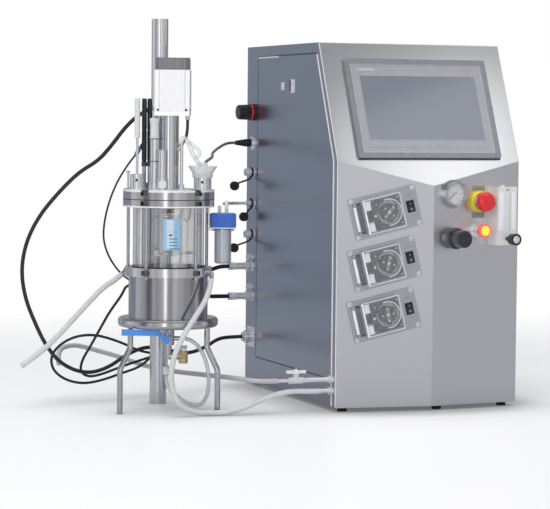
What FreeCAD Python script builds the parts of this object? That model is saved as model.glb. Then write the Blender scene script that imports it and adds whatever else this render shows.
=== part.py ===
"""Bench bioreactor: a control cabinet with pumps and gas controls, beside a stirred glass vessel on a stand.

Lengths are millimetres. The model is drawn from the cabinet's front left bottom corner, with X along the
front, Y towards the back and Z up, and is moved at export so that the origin is under the front left foot.
The vessel is drawn about its own axis and then set down beside the cabinet, turned a little to the left.
"""
import FreeCAD
import Part
import math
import os

Vector = FreeCAD.Vector
X_AXIS = Vector(1, 0, 0)
Y_AXIS = Vector(0, 1, 0)
Z_AXIS = Vector(0, 0, 1)

# ---------------------------------------------------------------- cabinet
cabinet_w = 400.0
cabinet_d = 540.0
cabinet_h = 745.0
sheet = 2.0
fold_z = 505.7             # height where the upright front turns into the sloping face
slope_back = 109.0         # how far the sloping face leans back at the top
prow = 22.5                # how far the middle of the front stands forward
foot_h = 9.0
foot_r = 10.0
foot_inset = 22.0
foot_stud_r = 4.0
middle_foot_x = 222.0      # the foot near the prow's point stands a little right of it
rear_lip = 14.0
vent_w = 110.0
vent_h = 5.0
vent_pitch = 14.0
vent_rows = 12
panel_low = 65.0           # lift-off side panel, in the left wall
panel_high = 723.0
panel_front = 25.0
panel_back = 472.0
panel_seam = 0.8
panel_ledge = 8.0
tongue_half = 60.0          # hook behind the wall's lower edge
tongue_h = 20.0
run_gap = 0.05             # radial clearance of a turning or sliding fit
soft_gap = 0.3             # clearance between faces that must not touch

# ---------------------------------------------------------------- touch screen
hmi_w = 315.0
hmi_h = 220.0
hmi_x = 201.5              # centre, along the front
hmi_up = 114.7             # centre, up the slope from the fold
hmi_proud = 7.0
hmi_corner = 5.0
hmi_step = 12.0
hmi_step_depth = 1.5
screen_w = 256.0
screen_h = 141.0
screen_up = 1.3
screen_t = 2.0
hmi_box_w = 298.0
hmi_box_h = 204.0
hmi_box_depth = 38.0

# ---------------------------------------------------------------- pumps
pump_count = 3
pump_x = 97.7
pump_top_z = 402.8
pump_pitch = 103.2
pump_turn = 13.5
plate_w = 143.0
plate_h = 84.0
plate_t = 4.0
plate_corner = 3.0
nut_x = 65.5
nut_y = 36.5
nut_r = 3.4
nut_h = 5.0
track_left = -30.0
track_right = 31.0
track_half = 31.0
track_h = 10.0
rotor_x = 5.0
pocket_r = 24.3
pocket_floor = 2.0
tube_channel = 9.0
tube_channel_y = 17.5
clamp_w = 11.5
clamp_h = 11.0
roller_r = 5.0
roller_orbit = 16.0
rotor_disc_r = 17.5
rotor_disc_t = 1.5
rotor_hub_r = 6.0
pump_shaft_r = 4.0
pump_shaft_depth = 30.0
pump_motor_r = 18.0
pump_motor_l = 62.0
pump_flange_r = 19.5
cover_left = -46.0
cover_right = 34.0
cover_half = 35.0
cover_h = 14.0
cover_wall = 2.0
cover_bar_x = -62.0
cover_bar_half = 27.0
cover_bar_r = 2.9
cover_pin_r = 1.5
cover_lug_t = 5.0
rocker_x = 54.0
rocker_w = 14.6
rocker_h = 20.8
rocker_rise = 3.0
rocker_side_gap = 0.9
rocker_end_gap = 1.6
rocker_case_wall = 1.5
rocker_case_depth = 14.0
rocker_pin_r = 1.0

# ---------------------------------------------------------------- gas and safety controls, on the right of the prow
gauge_x = 243.0
gauge_z = 439.5
gauge_r = 25.0
gauge_h = 18.0
gauge_rim = 3.0
gauge_floor = 5.0
gauge_flange_r = 29.0
gauge_flange_t = 3.0
gauge_back_r = 22.0
gauge_back_l = 26.0
arbor_r = 1.0
needle_l = 16.0
needle_tail = 6.0
needle_w = 2.0
needle_zero = 225.0        # where the needle points at no pressure, counted from the right
estop_x = 304.0
estop_z = 424.0
estop_collar_r = 22.0
estop_collar_h = 14.0
estop_head_r = 20.0
estop_face = 40.0
estop_travel = 5.0
estop_stem_r = 8.0
lamp_x = 298.0
lamp_z = 366.0
lamp_base_r = 14.0
lamp_barrel_r = 11.0
lamp_barrel_h = 26.0
lamp_head_r = 14.0
lamp_head_t = 11.0
lamp_stem_r = 8.0
lamp_travel = 2.5
reg_x = 242.0
reg_z = 350.0
reg_collar_r = 19.0
reg_collar_h = 8.0
reg_knob_r = 21.0
reg_knob_front_r = 17.5
reg_knob_face = 54.0
reg_grooves = 20
reg_groove_r = 1.5
reg_stem_r = 6.0
reg_body_r = 20.0
reg_body_l = 45.0
barrel_l = 45.0            # part of a button that stands behind the panel
flow_x = 350.0
flow_low = 336.0
flow_high = 455.0
flow_w = 45.0
flow_d = 38.0
flow_bore_r = 5.5
flow_bore_out = 20.0
flow_bore_low = 366.0
flow_plug_l = 12.0
float_r = 4.6
float_l = 11.0
flow_knob_z = 349.0
flow_knob_r = 12.0
flow_knob_t = 16.0
flow_knob_gap = 20.0
flow_stem_r = 4.0
flow_stem_in = 14.0

# ---------------------------------------------------------------- fittings on the left wall
strip_y = 497.0            # every socket stands on this upright line
switch_z = 602.0
switch_r = 17.0
switch_l = 30.0
switch_base_r = 18.5
switch_base_l = 8.0
switch_stem_r = 5.0
probe_socket_z = 535.0
socket_high_z = 470.5
hose_outlet_z = 402.5
socket_low_z = 334.4
plug_high_z = 264.0
plug_low_z = 198.0
small_socket_rise = 20.0   # a small socket sits this far above each plug
power_z = 108.0
socket_r = 8.0
socket_l = 20.0
socket_flange_r = 12.0
socket_flange_t = 3.0
socket_bore_r = 4.5
socket_tail = 14.0         # what stands inside the wall
probe_flange_r = 16.0
probe_barrel_r = 10.0
probe_barrel_l = 8.0
boot_r = 8.5
boot_end_r = 4.6
boot_end = 43.0
plug_r = 7.5
plug_ring_r = 9.5
plug_ring_l = 14.0
plug_l = 56.0
small_socket_r = 6.0
power_plate = 44.0
power_plate_t = 4.0
power_barrel_r = 14.0
power_barrel_l = 24.0
outlet_r = 6.0
outlet_l = 16.0
cap_r = 10.0
cap_t = 7.0
cap_out = 44.0             # how far the hanging cap stands from the wall
cap_drop = 30.0
strap_r = 2.0
tap_y = 17.0               # stopcock and drain nipple, low at the front of the left wall
tap_z = 66.0
tap_x = -80.0
tap_r = 7.0
tap_half = 15.0
tap_barb_l = 24.0
tap_barb_r = 3.6
tap_plug_r = 4.5
tap_neck_r = 6.5
tap_neck_h = 14.0
handle_l = 40.0
handle_w = 8.0
handle_t = 6.0
nipple_z = 43.0
nipple_l = 28.0
wall_pipe_r = 5.0

# ---------------------------------------------------------------- latch of the side panel
latch_y = 261.5
latch_z = 657.5
latch_w = 27.0
latch_h = 29.0
latch_t = 2.4
latch_pocket = 7.0
latch_pin_r = 1.2
keeper_y = 335.0
keeper_size = 15.0
keeper_t = 0.8

# ---------------------------------------------------------------- inside the cabinet
board_w = 300.0
board_t = 3.0
board_low = 60.0
board_high = 640.0
board_y = 380.0
board_leg_w = 20.0
unit_rise = 60.0            # the boxes sit this far above the board's lower edge
controller = (180.0, 90.0, 150.0)
supply = (110.0, 70.0, 130.0)

# ---------------------------------------------------------------- where the vessel stands
vessel_x = -313.0
vessel_y = 131.0
vessel_turn = 20.5         # clockwise, seen from above

# ---------------------------------------------------------------- stand and lower vessel
stand_low = 171.0
stand_top = 190.0
stand_r = 100.5
stand_bore_r = 40.0
stand_round = 7.0
leg_r = 5.7
leg_angles = (215.0, 335.0)
leg_top_out = 88.0
leg_foot_out = 112.0
leg_bend_high = 132.0
leg_bend_low = 88.0
leg_bend_r = 24.0
column_r = 17.0
column_wall = 2.0
column_top = 790.0
column_at = (-25.5, 116.5)
clamp_wall = 7.0
jacket_r = 79.5
jacket_wall = 2.0
jacket_top = 273.0
seat_ring_r = 87.5
seat_ring_top = 291.0
vessel_wall = 5.0
dish_low = 203.0
drain_r = 11.0
drain_bore_r = 6.0
port_z = 283.0            # the two hose elbows on the seat ring
port_r = 4.6
right_port_angle = -22.0
right_port_reach = 96.0
right_port_way = (-0.1, -0.45, -0.88)
right_port_l = 16.0
left_port_angle = 158.0
left_port_reach = 90.0
left_port_tip = 102.0
left_port_drop = 10.0
heater_angle = 140.0
heater_z = 248.0
heater_out = 98.0
heater_gland_r = 6.0
drip_at = (-6.0, 60.0)     # thin overflow tube under the flange
drip_r = 3.0
drip_nut_r = 6.0
drip_nut_low = 64.5
drip_nut_top = 84.0

# ---------------------------------------------------------------- glass and head
glass_r = 71.5
head_ring_low = 411.0
head_ring_top = 426.0
head_low = 427.0
head_top = 446.0
head_r = 91.5
stud_count = 5
stud_start = 25.0
stud_orbit = 83.5
stud_r = 3.2
stud_nut = 15.0            # across the flats
stud_low = 268.0
lug_nut_h = 9.0
notch_floor = 4.0           # a nut's seat above the lower face of its ring
nut_clearance = 1.6        # between a stud's nut and its notch
seal_r = 13.0
seal_low = 398.0
shaft_r = 5.0
shaft_low = 214.0
motor_tube_r = 19.5
motor_tube_bore = 16.0
motor_low = 601.0
motor_flange_t = 8.0
motor_size = 70.0
motor_offset = 7.0         # the gear motor's case stands off its output shaft
motor_top = 684.0
motor_cap_top = 708.0
motor_cap_size = 67.0
motor_corner = 9.0
motor_gland_r = 6.0
motor_gland_from = (-20.0, 31.0, 617.0)
motor_gland_to = (-40.0, 40.0, 607.0)
lead_at = (37.0, -8.0)     # short lead from the motor into its own tube
lead_gland_r = 4.4
lead_gland_l = 8.0
lead_entry = (26.0, -6.5, 536.0)
lead_entry_way = (-6.5, 0.5, -9.0)
coupling_r = 11.0
coupling_low = 520.0
coupling_top = 556.0
impeller_levels = (236.0, 318.0)
impeller_disc_r = 21.0
impeller_disc_t = 2.0
blade_count = 6
blade_l = 15.0
blade_h = 13.0
blade_t = 2.0
blade_in = 14.0
breaker_z = 391.0
breaker_r = 29.0
breaker_t = 3.0
hub_r = 9.0
hub_h = 12.0

condenser_at = (-28.0, -15.0)
condenser_r = 9.0
condenser_top = 588.0
condenser_band = 548.0      # a raised ring near its top
condenser_band_h = 3.0
front_port_at = (-12.0, -34.0)
front_port_r = 7.5
front_port_nut_r = 9.5
front_port_nut_top = 470.0
front_port_top = 525.0
left_port_at = (-63.0, -12.0)
left_dip_at = (-54.0, -10.5)
left_port_r = 14.5
left_port_top = 476.0
filter_stem_r = 2.6
filter_low = 548.0
filter_top = 627.0
filter_r = 5.5
right_port_at = (68.0, -12.0)
right_dip_at = (54.0, -11.0)
right_port_r = 17.5
right_port_top = 476.0
set_screw_r = 2.6
probe_nipple_at = (72.0, -12.0)
probe_nipple_r = 3.6
probe_nipple_z = 486.0
probe_nipple_l = 10.5
probe_nipple_tilt = math.radians(30.0)
feed_at = (-82.0, 4.0)
feed_r = 2.0
feed_top = 482.0
gas_at = (26.0, -24.0)
gas_r = 3.4
gas_top = 540.0
dip_r = 3.0
sparger_r = 24.0
sparger_z = 218.0
sparger_pipe_r = 2.6
dip_low = 240.0
sensor_places = ((-51.0, 22.0), (-40.5, 28.0))
sensor_stem_r = 4.0
sensor_r = 4.6
sensor_low = 491.0
sensor_top = 627.0
sensor_ring_r = 5.6
side_plug_from = (-51.0, 22.0, 540.0)
side_plug_to = (-59.5, 22.0, 527.0)
side_plug_r = 3.4
cover_cup_r = 29.5
cover_cup_foot_r = 20.0
cover_cup_top = 493.0
cover_cup_low = 470.0
cover_cup_wall = 1.6

# ---------------------------------------------------------------- drain valve
valve_z = 150.0
valve_r = 13.0
valve_half = 17.0
valve_stem_r = 4.0
valve_stem_out = 78.0      # the lever swings this far in front of the vessel's axis
valve_bonnet_r = 8.0
lever_l = 88.0
lever_w = 12.0
lever_t = 7.0
lever_rise = 14.0
drain_nipple_r = 4.4
drain_nipple_z = 146.0
drain_nipple_out = 24.0
elbow_low = 104.0
side_tee_out = 31.0
side_tee_r = 9.0
side_tee_h = 24.0
side_stem_top = 131.0

# ---------------------------------------------------------------- bottle
bottle_at = (109.0, 0.0)
bottle_r = 17.0
bottle_wall = 1.8
bottle_low = 298.0
bottle_shoulder = 371.0
cap_skirt_r = 26.0
cap_skirt_top = 399.0
cap_ribs = 40
cap_rib_r = 0.9
cap_tube_r = 3.0
cap_tube_top = 414.0
cap_tube_offset = 7.0
cap_elbow_z = 420.0
cap_elbow_l = 10.0
holder_t = 2.5
holder_w = 16.0
holder_z = 364.0

# ---------------------------------------------------------------- cables and hoses: thickness, then corners of the run
cord_end_gap = 0.15        # a cord's end face stands this far off its gland
cord_routes = {
    "motor_cable": (8.0, [
        (-336.5, 182.5, 607.0), (-350.0, 195.9, 598.3), (-377.8, 205.4, 574.5), (-414.0, 207.2, 527.1),
        (-440.6, 204.3, 499.8), (-478.7, 205.0, 478.4), (-518.0, 220.0, 435.8), (-553.2, 235.0, 389.1),
        (-576.1, 250.0, 336.2), (-583.2, 262.0, 278.9), (-572.7, 270.0, 221.3), (-550.5, 275.0, 169.5),
        (-526.0, 280.0, 121.4), (-490.0, 288.0, 80.5), (-435.5, 300.0, 59.0), (-382.5, 320.0, 67.7),
        (-333.9, 345.0, 93.1), (-280.8, 375.0, 105.7), (-226.0, 400.0, 93.2), (-172.0, 427.0, 80.4),
        (-120.6, 458.0, 91.2), (-82.0, 491.0, 105.5), (-51.0, 497.0, 108.0), (-24.0, 497.0, 108.0),
    ]),
    "sensor_cable": (4.0, [
        (-361.0, 172.4, 527.0), (-369.0, 175.4, 514.0), (-381.7, 180.0, 497.1), (-401.6, 190.0, 462.7),
        (-416.2, 200.0, 422.1), (-422.1, 215.0, 381.0), (-419.3, 235.0, 343.5), (-404.0, 258.0, 311.4),
        (-378.8, 285.0, 280.6), (-346.6, 313.0, 254.3), (-307.2, 342.0, 238.0), (-261.0, 370.0, 228.9),
        (-212.8, 402.0, 227.8), (-166.9, 432.0, 231.3), (-125.7, 460.0, 242.7), (-97.0, 489.0, 258.5),
        (-76.0, 497.0, 264.0), (-56.0, 497.0, 264.0),
    ]),
    "heater_cable": (5.5, [
        (-361.2, 216.3, 248.0), (-370.1, 232.0, 248.0), (-372.5, 255.0, 224.9), (-390.5, 280.0, 190.2),
        (-406.0, 300.0, 151.6), (-422.9, 315.0, 113.2), (-437.7, 323.0, 85.7), (-440.5, 328.0, 61.3),
        (-422.1, 332.0, 48.8), (-392.6, 337.0, 52.6), (-359.9, 345.0, 62.3), (-325.5, 358.0, 70.5),
        (-285.1, 382.0, 77.4), (-268.0, 398.0, 79.0), (-246.0, 405.0, 81.0), (-225.0, 398.0, 83.0),
        (-213.0, 379.0, 85.0), (-215.0, 357.0, 87.0), (-231.0, 341.0, 89.0), (-253.0, 334.0, 91.0),
        (-280.0, 331.0, 94.0), (-315.1, 328.0, 101.7), (-345.9, 320.0, 116.9), (-378.9, 318.3, 129.5),
        (-414.1, 315.8, 138.9), (-452.8, 315.3, 136.8), (-485.2, 314.0, 122.2), (-505.6, 317.0, 98.7),
        (-502.0, 322.0, 69.0), (-475.5, 325.0, 46.1), (-433.4, 330.0, 34.8), (-388.0, 338.0, 40.8),
        (-343.1, 350.0, 52.8), (-301.8, 356.3, 63.5), (-273.5, 362.6, 85.4), (-259.4, 372.6, 122.4),
        (-248.3, 387.4, 159.2), (-221.8, 408.0, 185.7), (-180.9, 430.0, 197.1), (-135.2, 458.0, 199.5),
        (-100.0, 486.0, 199.0), (-76.0, 497.0, 198.0), (-56.0, 497.0, 198.0),
    ]),
    "probe_cable": (6.0, [
        (-246.6, 103.1, 491.2), (-240.8, 118.5, 500.8), (-221.6, 147.0, 506.0), (-203.7, 187.8, 508.0),
        (-186.3, 233.0, 509.0), (-168.4, 285.7, 510.5), (-150.6, 338.7, 513.5), (-129.5, 388.2, 517.5),
        (-108.5, 431.2, 522.0), (-89.8, 462.8, 526.5), (-78.0, 480.0, 529.8), (-66.5, 491.5, 533.0),
        (-55.5, 497.0, 535.0), (-43.0, 497.0, 535.0),
    ]),
    "jacket_hose": (11.0, [
        (-246.3, 59.9, 268.8), (-252.3, 50.6, 247.6), (-270.9, 35.1, 220.6), (-296.1, 22.1, 191.6),
        (-319.3, 17.0, 159.0), (-334.8, 18.5, 126.0), (-341.0, 21.9, 93.0), (-338.3, 26.2, 62.0),
        (-328.7, 29.0, 36.0), (-312.0, 28.1, 17.0), (-285.0, 29.0, 8.0), (-260.3, 26.0, 5.8),
        (-232.3, 22.0, 5.8), (-201.7, 19.5, 10.5), (-169.0, 19.0, 22.0), (-140.0, 17.5, 34.0),
        (-110.0, 17.0, 42.2), (-80.0, 17.0, 45.0), (-53.0, 17.0, 43.0), (-28.0, 17.0, 43.0),
    ]),
    "open_hose": (11.0, [
        (-388.2, 199.9, 273.0), (-401.8, 212.4, 257.6), (-421.0, 224.0, 244.4), (-444.0, 235.0, 217.5),
        (-469.2, 246.0, 187.6), (-496.0, 255.0, 155.7), (-524.7, 261.0, 125.3), (-553.4, 263.0, 102.4),
        (-581.7, 262.0, 83.9),
    ]),
    "grey_hose": (10.0, [
        (-119.0, 17.0, 66.0), (-142.0, 17.0, 66.0), (-164.5, 24.0, 66.6), (-182.0, 41.0, 68.6),
        (-193.0, 66.0, 68.6), (-200.0, 98.0, 67.5), (-207.6, 137.0, 65.4), (-213.0, 178.0, 63.2),
        (-222.0, 219.0, 61.4), (-233.0, 260.0, 59.8), (-246.0, 301.0, 59.0), (-261.8, 343.8, 60.2),
        (-286.1, 380.2, 63.6), (-316.1, 404.2, 75.4), (-352.0, 410.0, 87.4), (-387.0, 412.0, 96.9),
        (-420.0, 404.0, 107.5), (-449.0, 389.0, 110.0), (-472.0, 367.0, 105.6), (-484.0, 342.0, 93.0),
        (-488.5, 318.0, 80.0),
    ]),
    "drain_tube": (8.0, [
        (-290.5, 122.6, 146.0), (-277.4, 117.7, 146.0), (-264.6, 111.8, 139.0), (-254.1, 105.8, 127.5),
        (-246.4, 100.7, 112.0), (-240.2, 97.4, 91.0), (-236.8, 97.7, 69.0), (-235.7, 102.1, 47.5),
        (-236.6, 109.9, 28.5), (-240.9, 121.1, 14.0), (-248.8, 134.2, 6.6), (-259.5, 148.4, 7.5),
        (-270.3, 160.9, 14.0), (-280.2, 172.5, 24.0), (-291.2, 183.7, 34.0), (-297.6, 189.3, 48.5),
        (-297.6, 189.3, 64.5),
    ]),
    "bottle_hose": (7.0, [
        (-200.9, 99.7, 420.0), (-194.9, 115.7, 420.0), (-185.0, 143.5, 417.8), (-173.4, 179.6, 414.6),
        (-158.9, 232.0, 412.2), (-142.5, 284.9, 410.0), (-122.4, 336.7, 408.0), (-102.7, 384.2, 406.3),
        (-83.6, 426.5, 405.0), (-68.0, 457.0, 403.8), (-58.5, 474.5, 403.2), (-49.5, 487.0, 402.8),
        (-39.0, 494.5, 402.5), (-28.0, 497.0, 402.5), (-17.5, 497.0, 402.5),
    ]),
    "motor_lead": (6.0, [
        (-281.1, 110.5, 585.0), (-281.1, 110.5, 573.0), (-281.7, 111.2, 560.0), (-284.3, 112.7, 546.0),
        (-290.9, 115.8, 536.0),
    ]),
}

FOOT = Vector(foot_inset, foot_inset, 0)
nodes = {}


# ---------------------------------------------------------------- plain helpers
def block(x0, x1, y0, y1, z0, z1):
    """Box between two corners."""
    return Part.makeBox(x1 - x0, y1 - y0, z1 - z0, Vector(x0, y0, z0))


def rod(radius, start, end):
    """Round bar from one point to another."""
    way = end - start
    return Part.makeCylinder(radius, way.Length, start, way)


def post(radius, at, low, high):
    """Upright round bar over a point of the ground plan."""
    return Part.makeCylinder(radius, high - low, Vector(at[0], at[1], low), Z_AXIS)


def turned(profile, at=(0.0, 0.0)):
    """Solid turned about an upright line from (radius, height) points."""
    points = [Vector(at[0] + radius, at[1], height) for radius, height in profile]
    face = Part.Face(Part.makePolygon(points + points[:1]))
    return face.revolve(Vector(at[0], at[1], 0), Z_AXIS, 360)


def prism(points, way):
    """Flat outline pushed along a vector."""
    return Part.Face(Part.makePolygon(points + points[:1])).extrude(way)


def hexagon(flats, at, low, high):
    """Six-sided nut or bolt head."""
    reach = flats / 2 / math.cos(math.radians(30))
    points = [
        Vector(at[0] + reach * math.cos(math.radians(a)), at[1] + reach * math.sin(math.radians(a)), low)
        for a in range(0, 360, 60)
    ]
    return prism(points, Vector(0, 0, high - low))


def fused(pieces):
    """One solid from several that touch."""
    whole = pieces[0]
    for piece in pieces[1:]:
        whole = whole.fuse(piece)
    return whole.removeSplitter()


def cut_all(body, tools):
    """Body with every tool taken out of it."""
    for tool in tools:
        body = body.cut(tool)
    return body


def frame(origin, x_way, y_way):
    """Placement whose local x and y run along two given directions."""
    x = Vector(x_way).normalize()
    y = Vector(y_way).normalize()
    z = x.cross(y)
    matrix = FreeCAD.Matrix(
        x.x, y.x, z.x, origin.x,
        x.y, y.y, z.y, origin.y,
        x.z, y.z, z.z, origin.z,
        0, 0, 0, 1,
    )
    return FreeCAD.Placement(matrix)


def placed(shape, placement):
    """Copy of a shape drawn in a local frame, set into place."""
    moved = shape.copy()
    moved.Placement = placement.multiply(moved.Placement)
    return moved


def polar(radius, degrees, z):
    """Point at a radius and angle about the local upright axis."""
    angle = math.radians(degrees)
    return Vector(radius * math.cos(angle), radius * math.sin(angle), z)


def bent_path(points, radii):
    """Wire of straight runs joined by tangent arcs, one radius for each inner point."""
    edges = []
    start = points[0]
    for before, corner, after, radius in zip(points, points[1:], points[2:], radii):
        back = (before - corner).normalize()
        ahead = (after - corner).normalize()
        half_turn = (math.pi - back.getAngle(ahead)) / 2
        reach = radius * math.tan(half_turn)
        arc_start = corner + back * reach
        arc_end = corner + ahead * reach
        inward = (back + ahead).normalize()
        centre = corner + inward * (radius / math.cos(half_turn))
        middle = centre - inward * radius
        edges.append(Part.LineSegment(start, arc_start).toShape())
        edges.append(Part.Arc(arc_start, middle, arc_end).toShape())
        start = arc_end
    edges.append(Part.LineSegment(start, points[-1]).toShape())
    return Part.Wire(edges)


def bent_bar(points, bend_r, radius):
    """Round bar bent at each inner point with one bend radius."""
    path = bent_path(points, [bend_r] * (len(points) - 2))
    start = (points[1] - points[0]).normalize()
    ring = Part.Wire(Part.makeCircle(radius, points[0], start))
    return path.makePipeShell([ring], True, True)


def grooved(body, count, orbit_low, orbit_high, groove_r, low, high):
    """Body with even grip grooves down its side."""
    cutters = []
    for index in range(count):
        angle = 360.0 * index / count
        cutters.append(rod(groove_r, polar(orbit_low, angle, low), polar(orbit_high, angle, high)))
    return body.cut(Part.makeCompound(cutters))


def add(name, shape):
    """Keep a finished node under its name."""
    nodes[name] = shape


# ---------------------------------------------------------------- frames on the cabinet and the vessel
slope_rise = cabinet_h - fold_z
slope_l = math.hypot(slope_back, slope_rise)
half_w = cabinet_w / 2
facet_l = math.hypot(half_w, prow)
facet_share = facet_l / half_w

SLOPE = frame(Vector(0, 0, fold_z), X_AXIS, Vector(0, slope_back, slope_rise))
LEFT_FACET = frame(Vector(0, 0, 0), Vector(half_w, -prow, 0), Z_AXIS)
RIGHT_FACET = frame(Vector(half_w, -prow, 0), Vector(half_w, prow, 0), Z_AXIS)
LEFT_WALL = frame(Vector(0, 0, 0), Vector(0, -1, 0), Z_AXIS)
VESSEL = FreeCAD.Placement(Vector(vessel_x, vessel_y, 0), FreeCAD.Rotation(Z_AXIS, -vessel_turn))


def on_right(x, z):
    """Frame on the right half of the prow at a place given along the cabinet's front."""
    return RIGHT_FACET.multiply(FreeCAD.Placement(Vector((x - half_w) * facet_share, z, 0), FreeCAD.Rotation()))


def on_wall(y, z):
    """Frame on the left wall, with its local z pointing out of the cabinet."""
    return LEFT_WALL.multiply(FreeCAD.Placement(Vector(-y, z, 0), FreeCAD.Rotation()))


def pump_frame(index):
    """Frame of one pump plate, on the left half of the prow."""
    at = Vector(pump_x * facet_share, pump_top_z - pump_pitch * index, 0)
    return LEFT_FACET.multiply(FreeCAD.Placement(at, FreeCAD.Rotation(Z_AXIS, pump_turn)))


def front_y(x, shift):
    """Depth of the upright front at a place along it."""
    return shift - prow * (1 - abs(x - half_w) / half_w)


def case_volume(inset, side, low, high, back):
    """Solid cabinet form with its front moved back by an inset, square to each face."""
    upright_shift = inset * facet_share
    slope_shift = inset * slope_l / slope_rise
    plan = [
        Vector(side, back, low),
        Vector(side, front_y(side, upright_shift), low),
        Vector(half_w, front_y(half_w, upright_shift), low),
        Vector(cabinet_w - side, front_y(cabinet_w - side, upright_shift), low),
        Vector(cabinet_w - side, back, low),
    ]
    lean = slope_back / slope_rise
    under_slope = [
        Vector(side, (low - fold_z) * lean + slope_shift, low),
        Vector(side, (high - fold_z) * lean + slope_shift, high),
        Vector(side, back, high),
        Vector(side, back, low),
    ]
    upright = prism(plan, Vector(0, 0, high - low))
    return upright.common(prism(under_slope, Vector(cabinet_w - 2 * side, 0, 0)))


def side_outline(x, growth):
    """Outline of the side panel's opening, grown or shrunk evenly."""
    lean = slope_back / slope_rise
    front_high = panel_front + (panel_high - fold_z) * lean
    wire = Part.makePolygon([
        Vector(x, panel_front, panel_low),
        Vector(x, panel_back, panel_low),
        Vector(x, panel_back, panel_high),
        Vector(x, front_high, panel_high),
        Vector(x, panel_front, fold_z),
        Vector(x, panel_front, panel_low),
    ])
    return Part.Face(wire.makeOffset2D(growth) if growth else wire)


# ---------------------------------------------------------------- cabinet
def make_shell():
    """Folded case: floor, roof and both walls, with lips for the rear cover and the side panel."""
    body = case_volume(sheet, 0, foot_h, cabinet_h, cabinet_d)
    body = body.cut(case_volume(-10, sheet, foot_h + sheet, cabinet_h - sheet, cabinet_d + 1))
    lip = block(sheet, cabinet_w - sheet, cabinet_d - 2 * sheet, cabinet_d - sheet,
                foot_h + sheet, cabinet_h - sheet)
    lip = lip.cut(block(sheet + rear_lip, cabinet_w - sheet - rear_lip, 0, cabinet_d,
                        foot_h + rear_lip, cabinet_h - rear_lip))
    ledge = side_outline(sheet, panel_ledge).extrude(X_AXIS * sheet)
    ledge = ledge.cut(side_outline(sheet, -panel_ledge).extrude(X_AXIS * sheet))
    opening = side_outline(-1, 0).extrude(X_AXIS * (sheet + 1))
    body = fused([body.cut(opening), lip, ledge])
    holes = [placed(post(radius, (0, 0), -3 * sheet, sheet), on_wall(y, z)) for radius, y, z in wall_holes()]
    holes.append(placed(block(-power_plate / 2 + 5, power_plate / 2 - 5, -power_plate / 2 + 5,
                              power_plate / 2 - 5, -3 * sheet, sheet), on_wall(strip_y, power_z)))
    for at in foot_places():
        holes.append(post(foot_stud_r, at, 0, foot_h + sheet + 1))
    add("cabinet_shell", cut_all(body, holes))


def wall_holes():
    """Radius and place of each round hole that the left wall's fittings pass through."""
    rows = [(switch_stem_r + 4, strip_y, switch_z), (probe_barrel_r, strip_y, probe_socket_z)]
    for z in (socket_high_z, socket_low_z, plug_high_z, plug_low_z):
        rows.append((socket_r, strip_y, z))
    for z in (plug_high_z, plug_low_z):
        rows.append((small_socket_r, strip_y, z + small_socket_rise))
    rows.append((outlet_r, strip_y, hose_outlet_z))
    rows.append((wall_pipe_r, tap_y, tap_z))
    rows.append((wall_pipe_r, tap_y, nipple_z))
    return rows


def foot_places():
    """Ground plan of the feet: three along the front and two at the back."""
    middle = front_y(middle_foot_x, 0) + foot_inset
    far = cabinet_d - foot_inset
    return [(foot_inset, foot_inset), (middle_foot_x, middle), (cabinet_w - foot_inset, foot_inset),
            (foot_inset, far), (cabinet_w - foot_inset, far)]


def make_feet():
    """Rubber feet, each with a stud through the floor."""
    feet = []
    for at in foot_places():
        pad = turned([(0, 0), (foot_r - 1, 0), (foot_r, 2), (foot_r - 1, foot_h), (0, foot_h)], at)
        feet.append(pad.fuse(post(foot_stud_r, at, foot_h, foot_h + sheet)).removeSplitter())
    add("cabinet_feet", Part.makeCompound(feet))


def make_front():
    """One sheet: the two halves of the prow and the sloping face, with a hole for each thing mounted on it."""
    panel = case_volume(0, 0, foot_h, cabinet_h, cabinet_d)
    panel = panel.cut(case_volume(sheet, -1, foot_h - 1, cabinet_h + 1, cabinet_d + 1))
    depth = 3 * sheet
    tools = [placed(block(hmi_x - hmi_box_w / 2, hmi_x + hmi_box_w / 2, hmi_up - hmi_box_h / 2,
                          hmi_up + hmi_box_h / 2, -depth, depth), SLOPE)]
    for index in range(pump_count):
        tools.append(placed(post(pump_flange_r, (rotor_x, 0), -depth, depth), pump_frame(index)))
        tools.append(placed(rocker_case(-depth, depth), pump_frame(index)))
    for radius, x, z in ((gauge_back_r, gauge_x, gauge_z), (lamp_barrel_r, estop_x, estop_z),
                         (lamp_barrel_r, lamp_x, lamp_z), (reg_body_r, reg_x, reg_z)):
        tools.append(placed(post(radius, (0, 0), -depth, depth), on_right(x, z)))
    add("front_panel", cut_all(panel, tools))


def make_side_panel():
    """Lift-off panel with a latch cup, a keeper plate and a tongue that hooks behind the wall's lower edge."""
    panel = side_outline(0, -panel_seam).extrude(X_AXIS * sheet)
    cup_out = latch_w / 2 + 2 * sheet
    cup_up = latch_h / 2 + 2 * sheet
    cup = block(sheet, latch_pocket + sheet, latch_y - cup_out, latch_y + cup_out, latch_z - cup_up, latch_z + cup_up)
    keeper = block(-keeper_t, 0, keeper_y - keeper_size / 2, keeper_y + keeper_size / 2,
                   latch_z - keeper_size / 2, latch_z + keeper_size / 2)
    tongue = block(sheet, 2 * sheet, panel_back / 2 - tongue_half, panel_back / 2 + tongue_half,
                   panel_low + panel_ledge, panel_low + panel_ledge + tongue_h)
    body = fused([panel, cup, keeper, tongue])
    pocket = block(-1, latch_pocket, latch_y - latch_w / 2 - soft_gap, latch_y + latch_w / 2 + soft_gap,
                   latch_z - latch_h / 2 - soft_gap, latch_z + latch_h / 2 + soft_gap)
    pin = rod(latch_pin_r + run_gap, latch_pivot(-latch_h / 2 - sheet), latch_pivot(latch_h / 2 + sheet))
    add("side_panel", cut_all(body, [pocket, pin]))


def latch_pivot(rise):
    """Point on the latch's upright hinge line."""
    return Vector(latch_t, latch_y + latch_w / 2 - latch_t, latch_z + rise)


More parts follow.
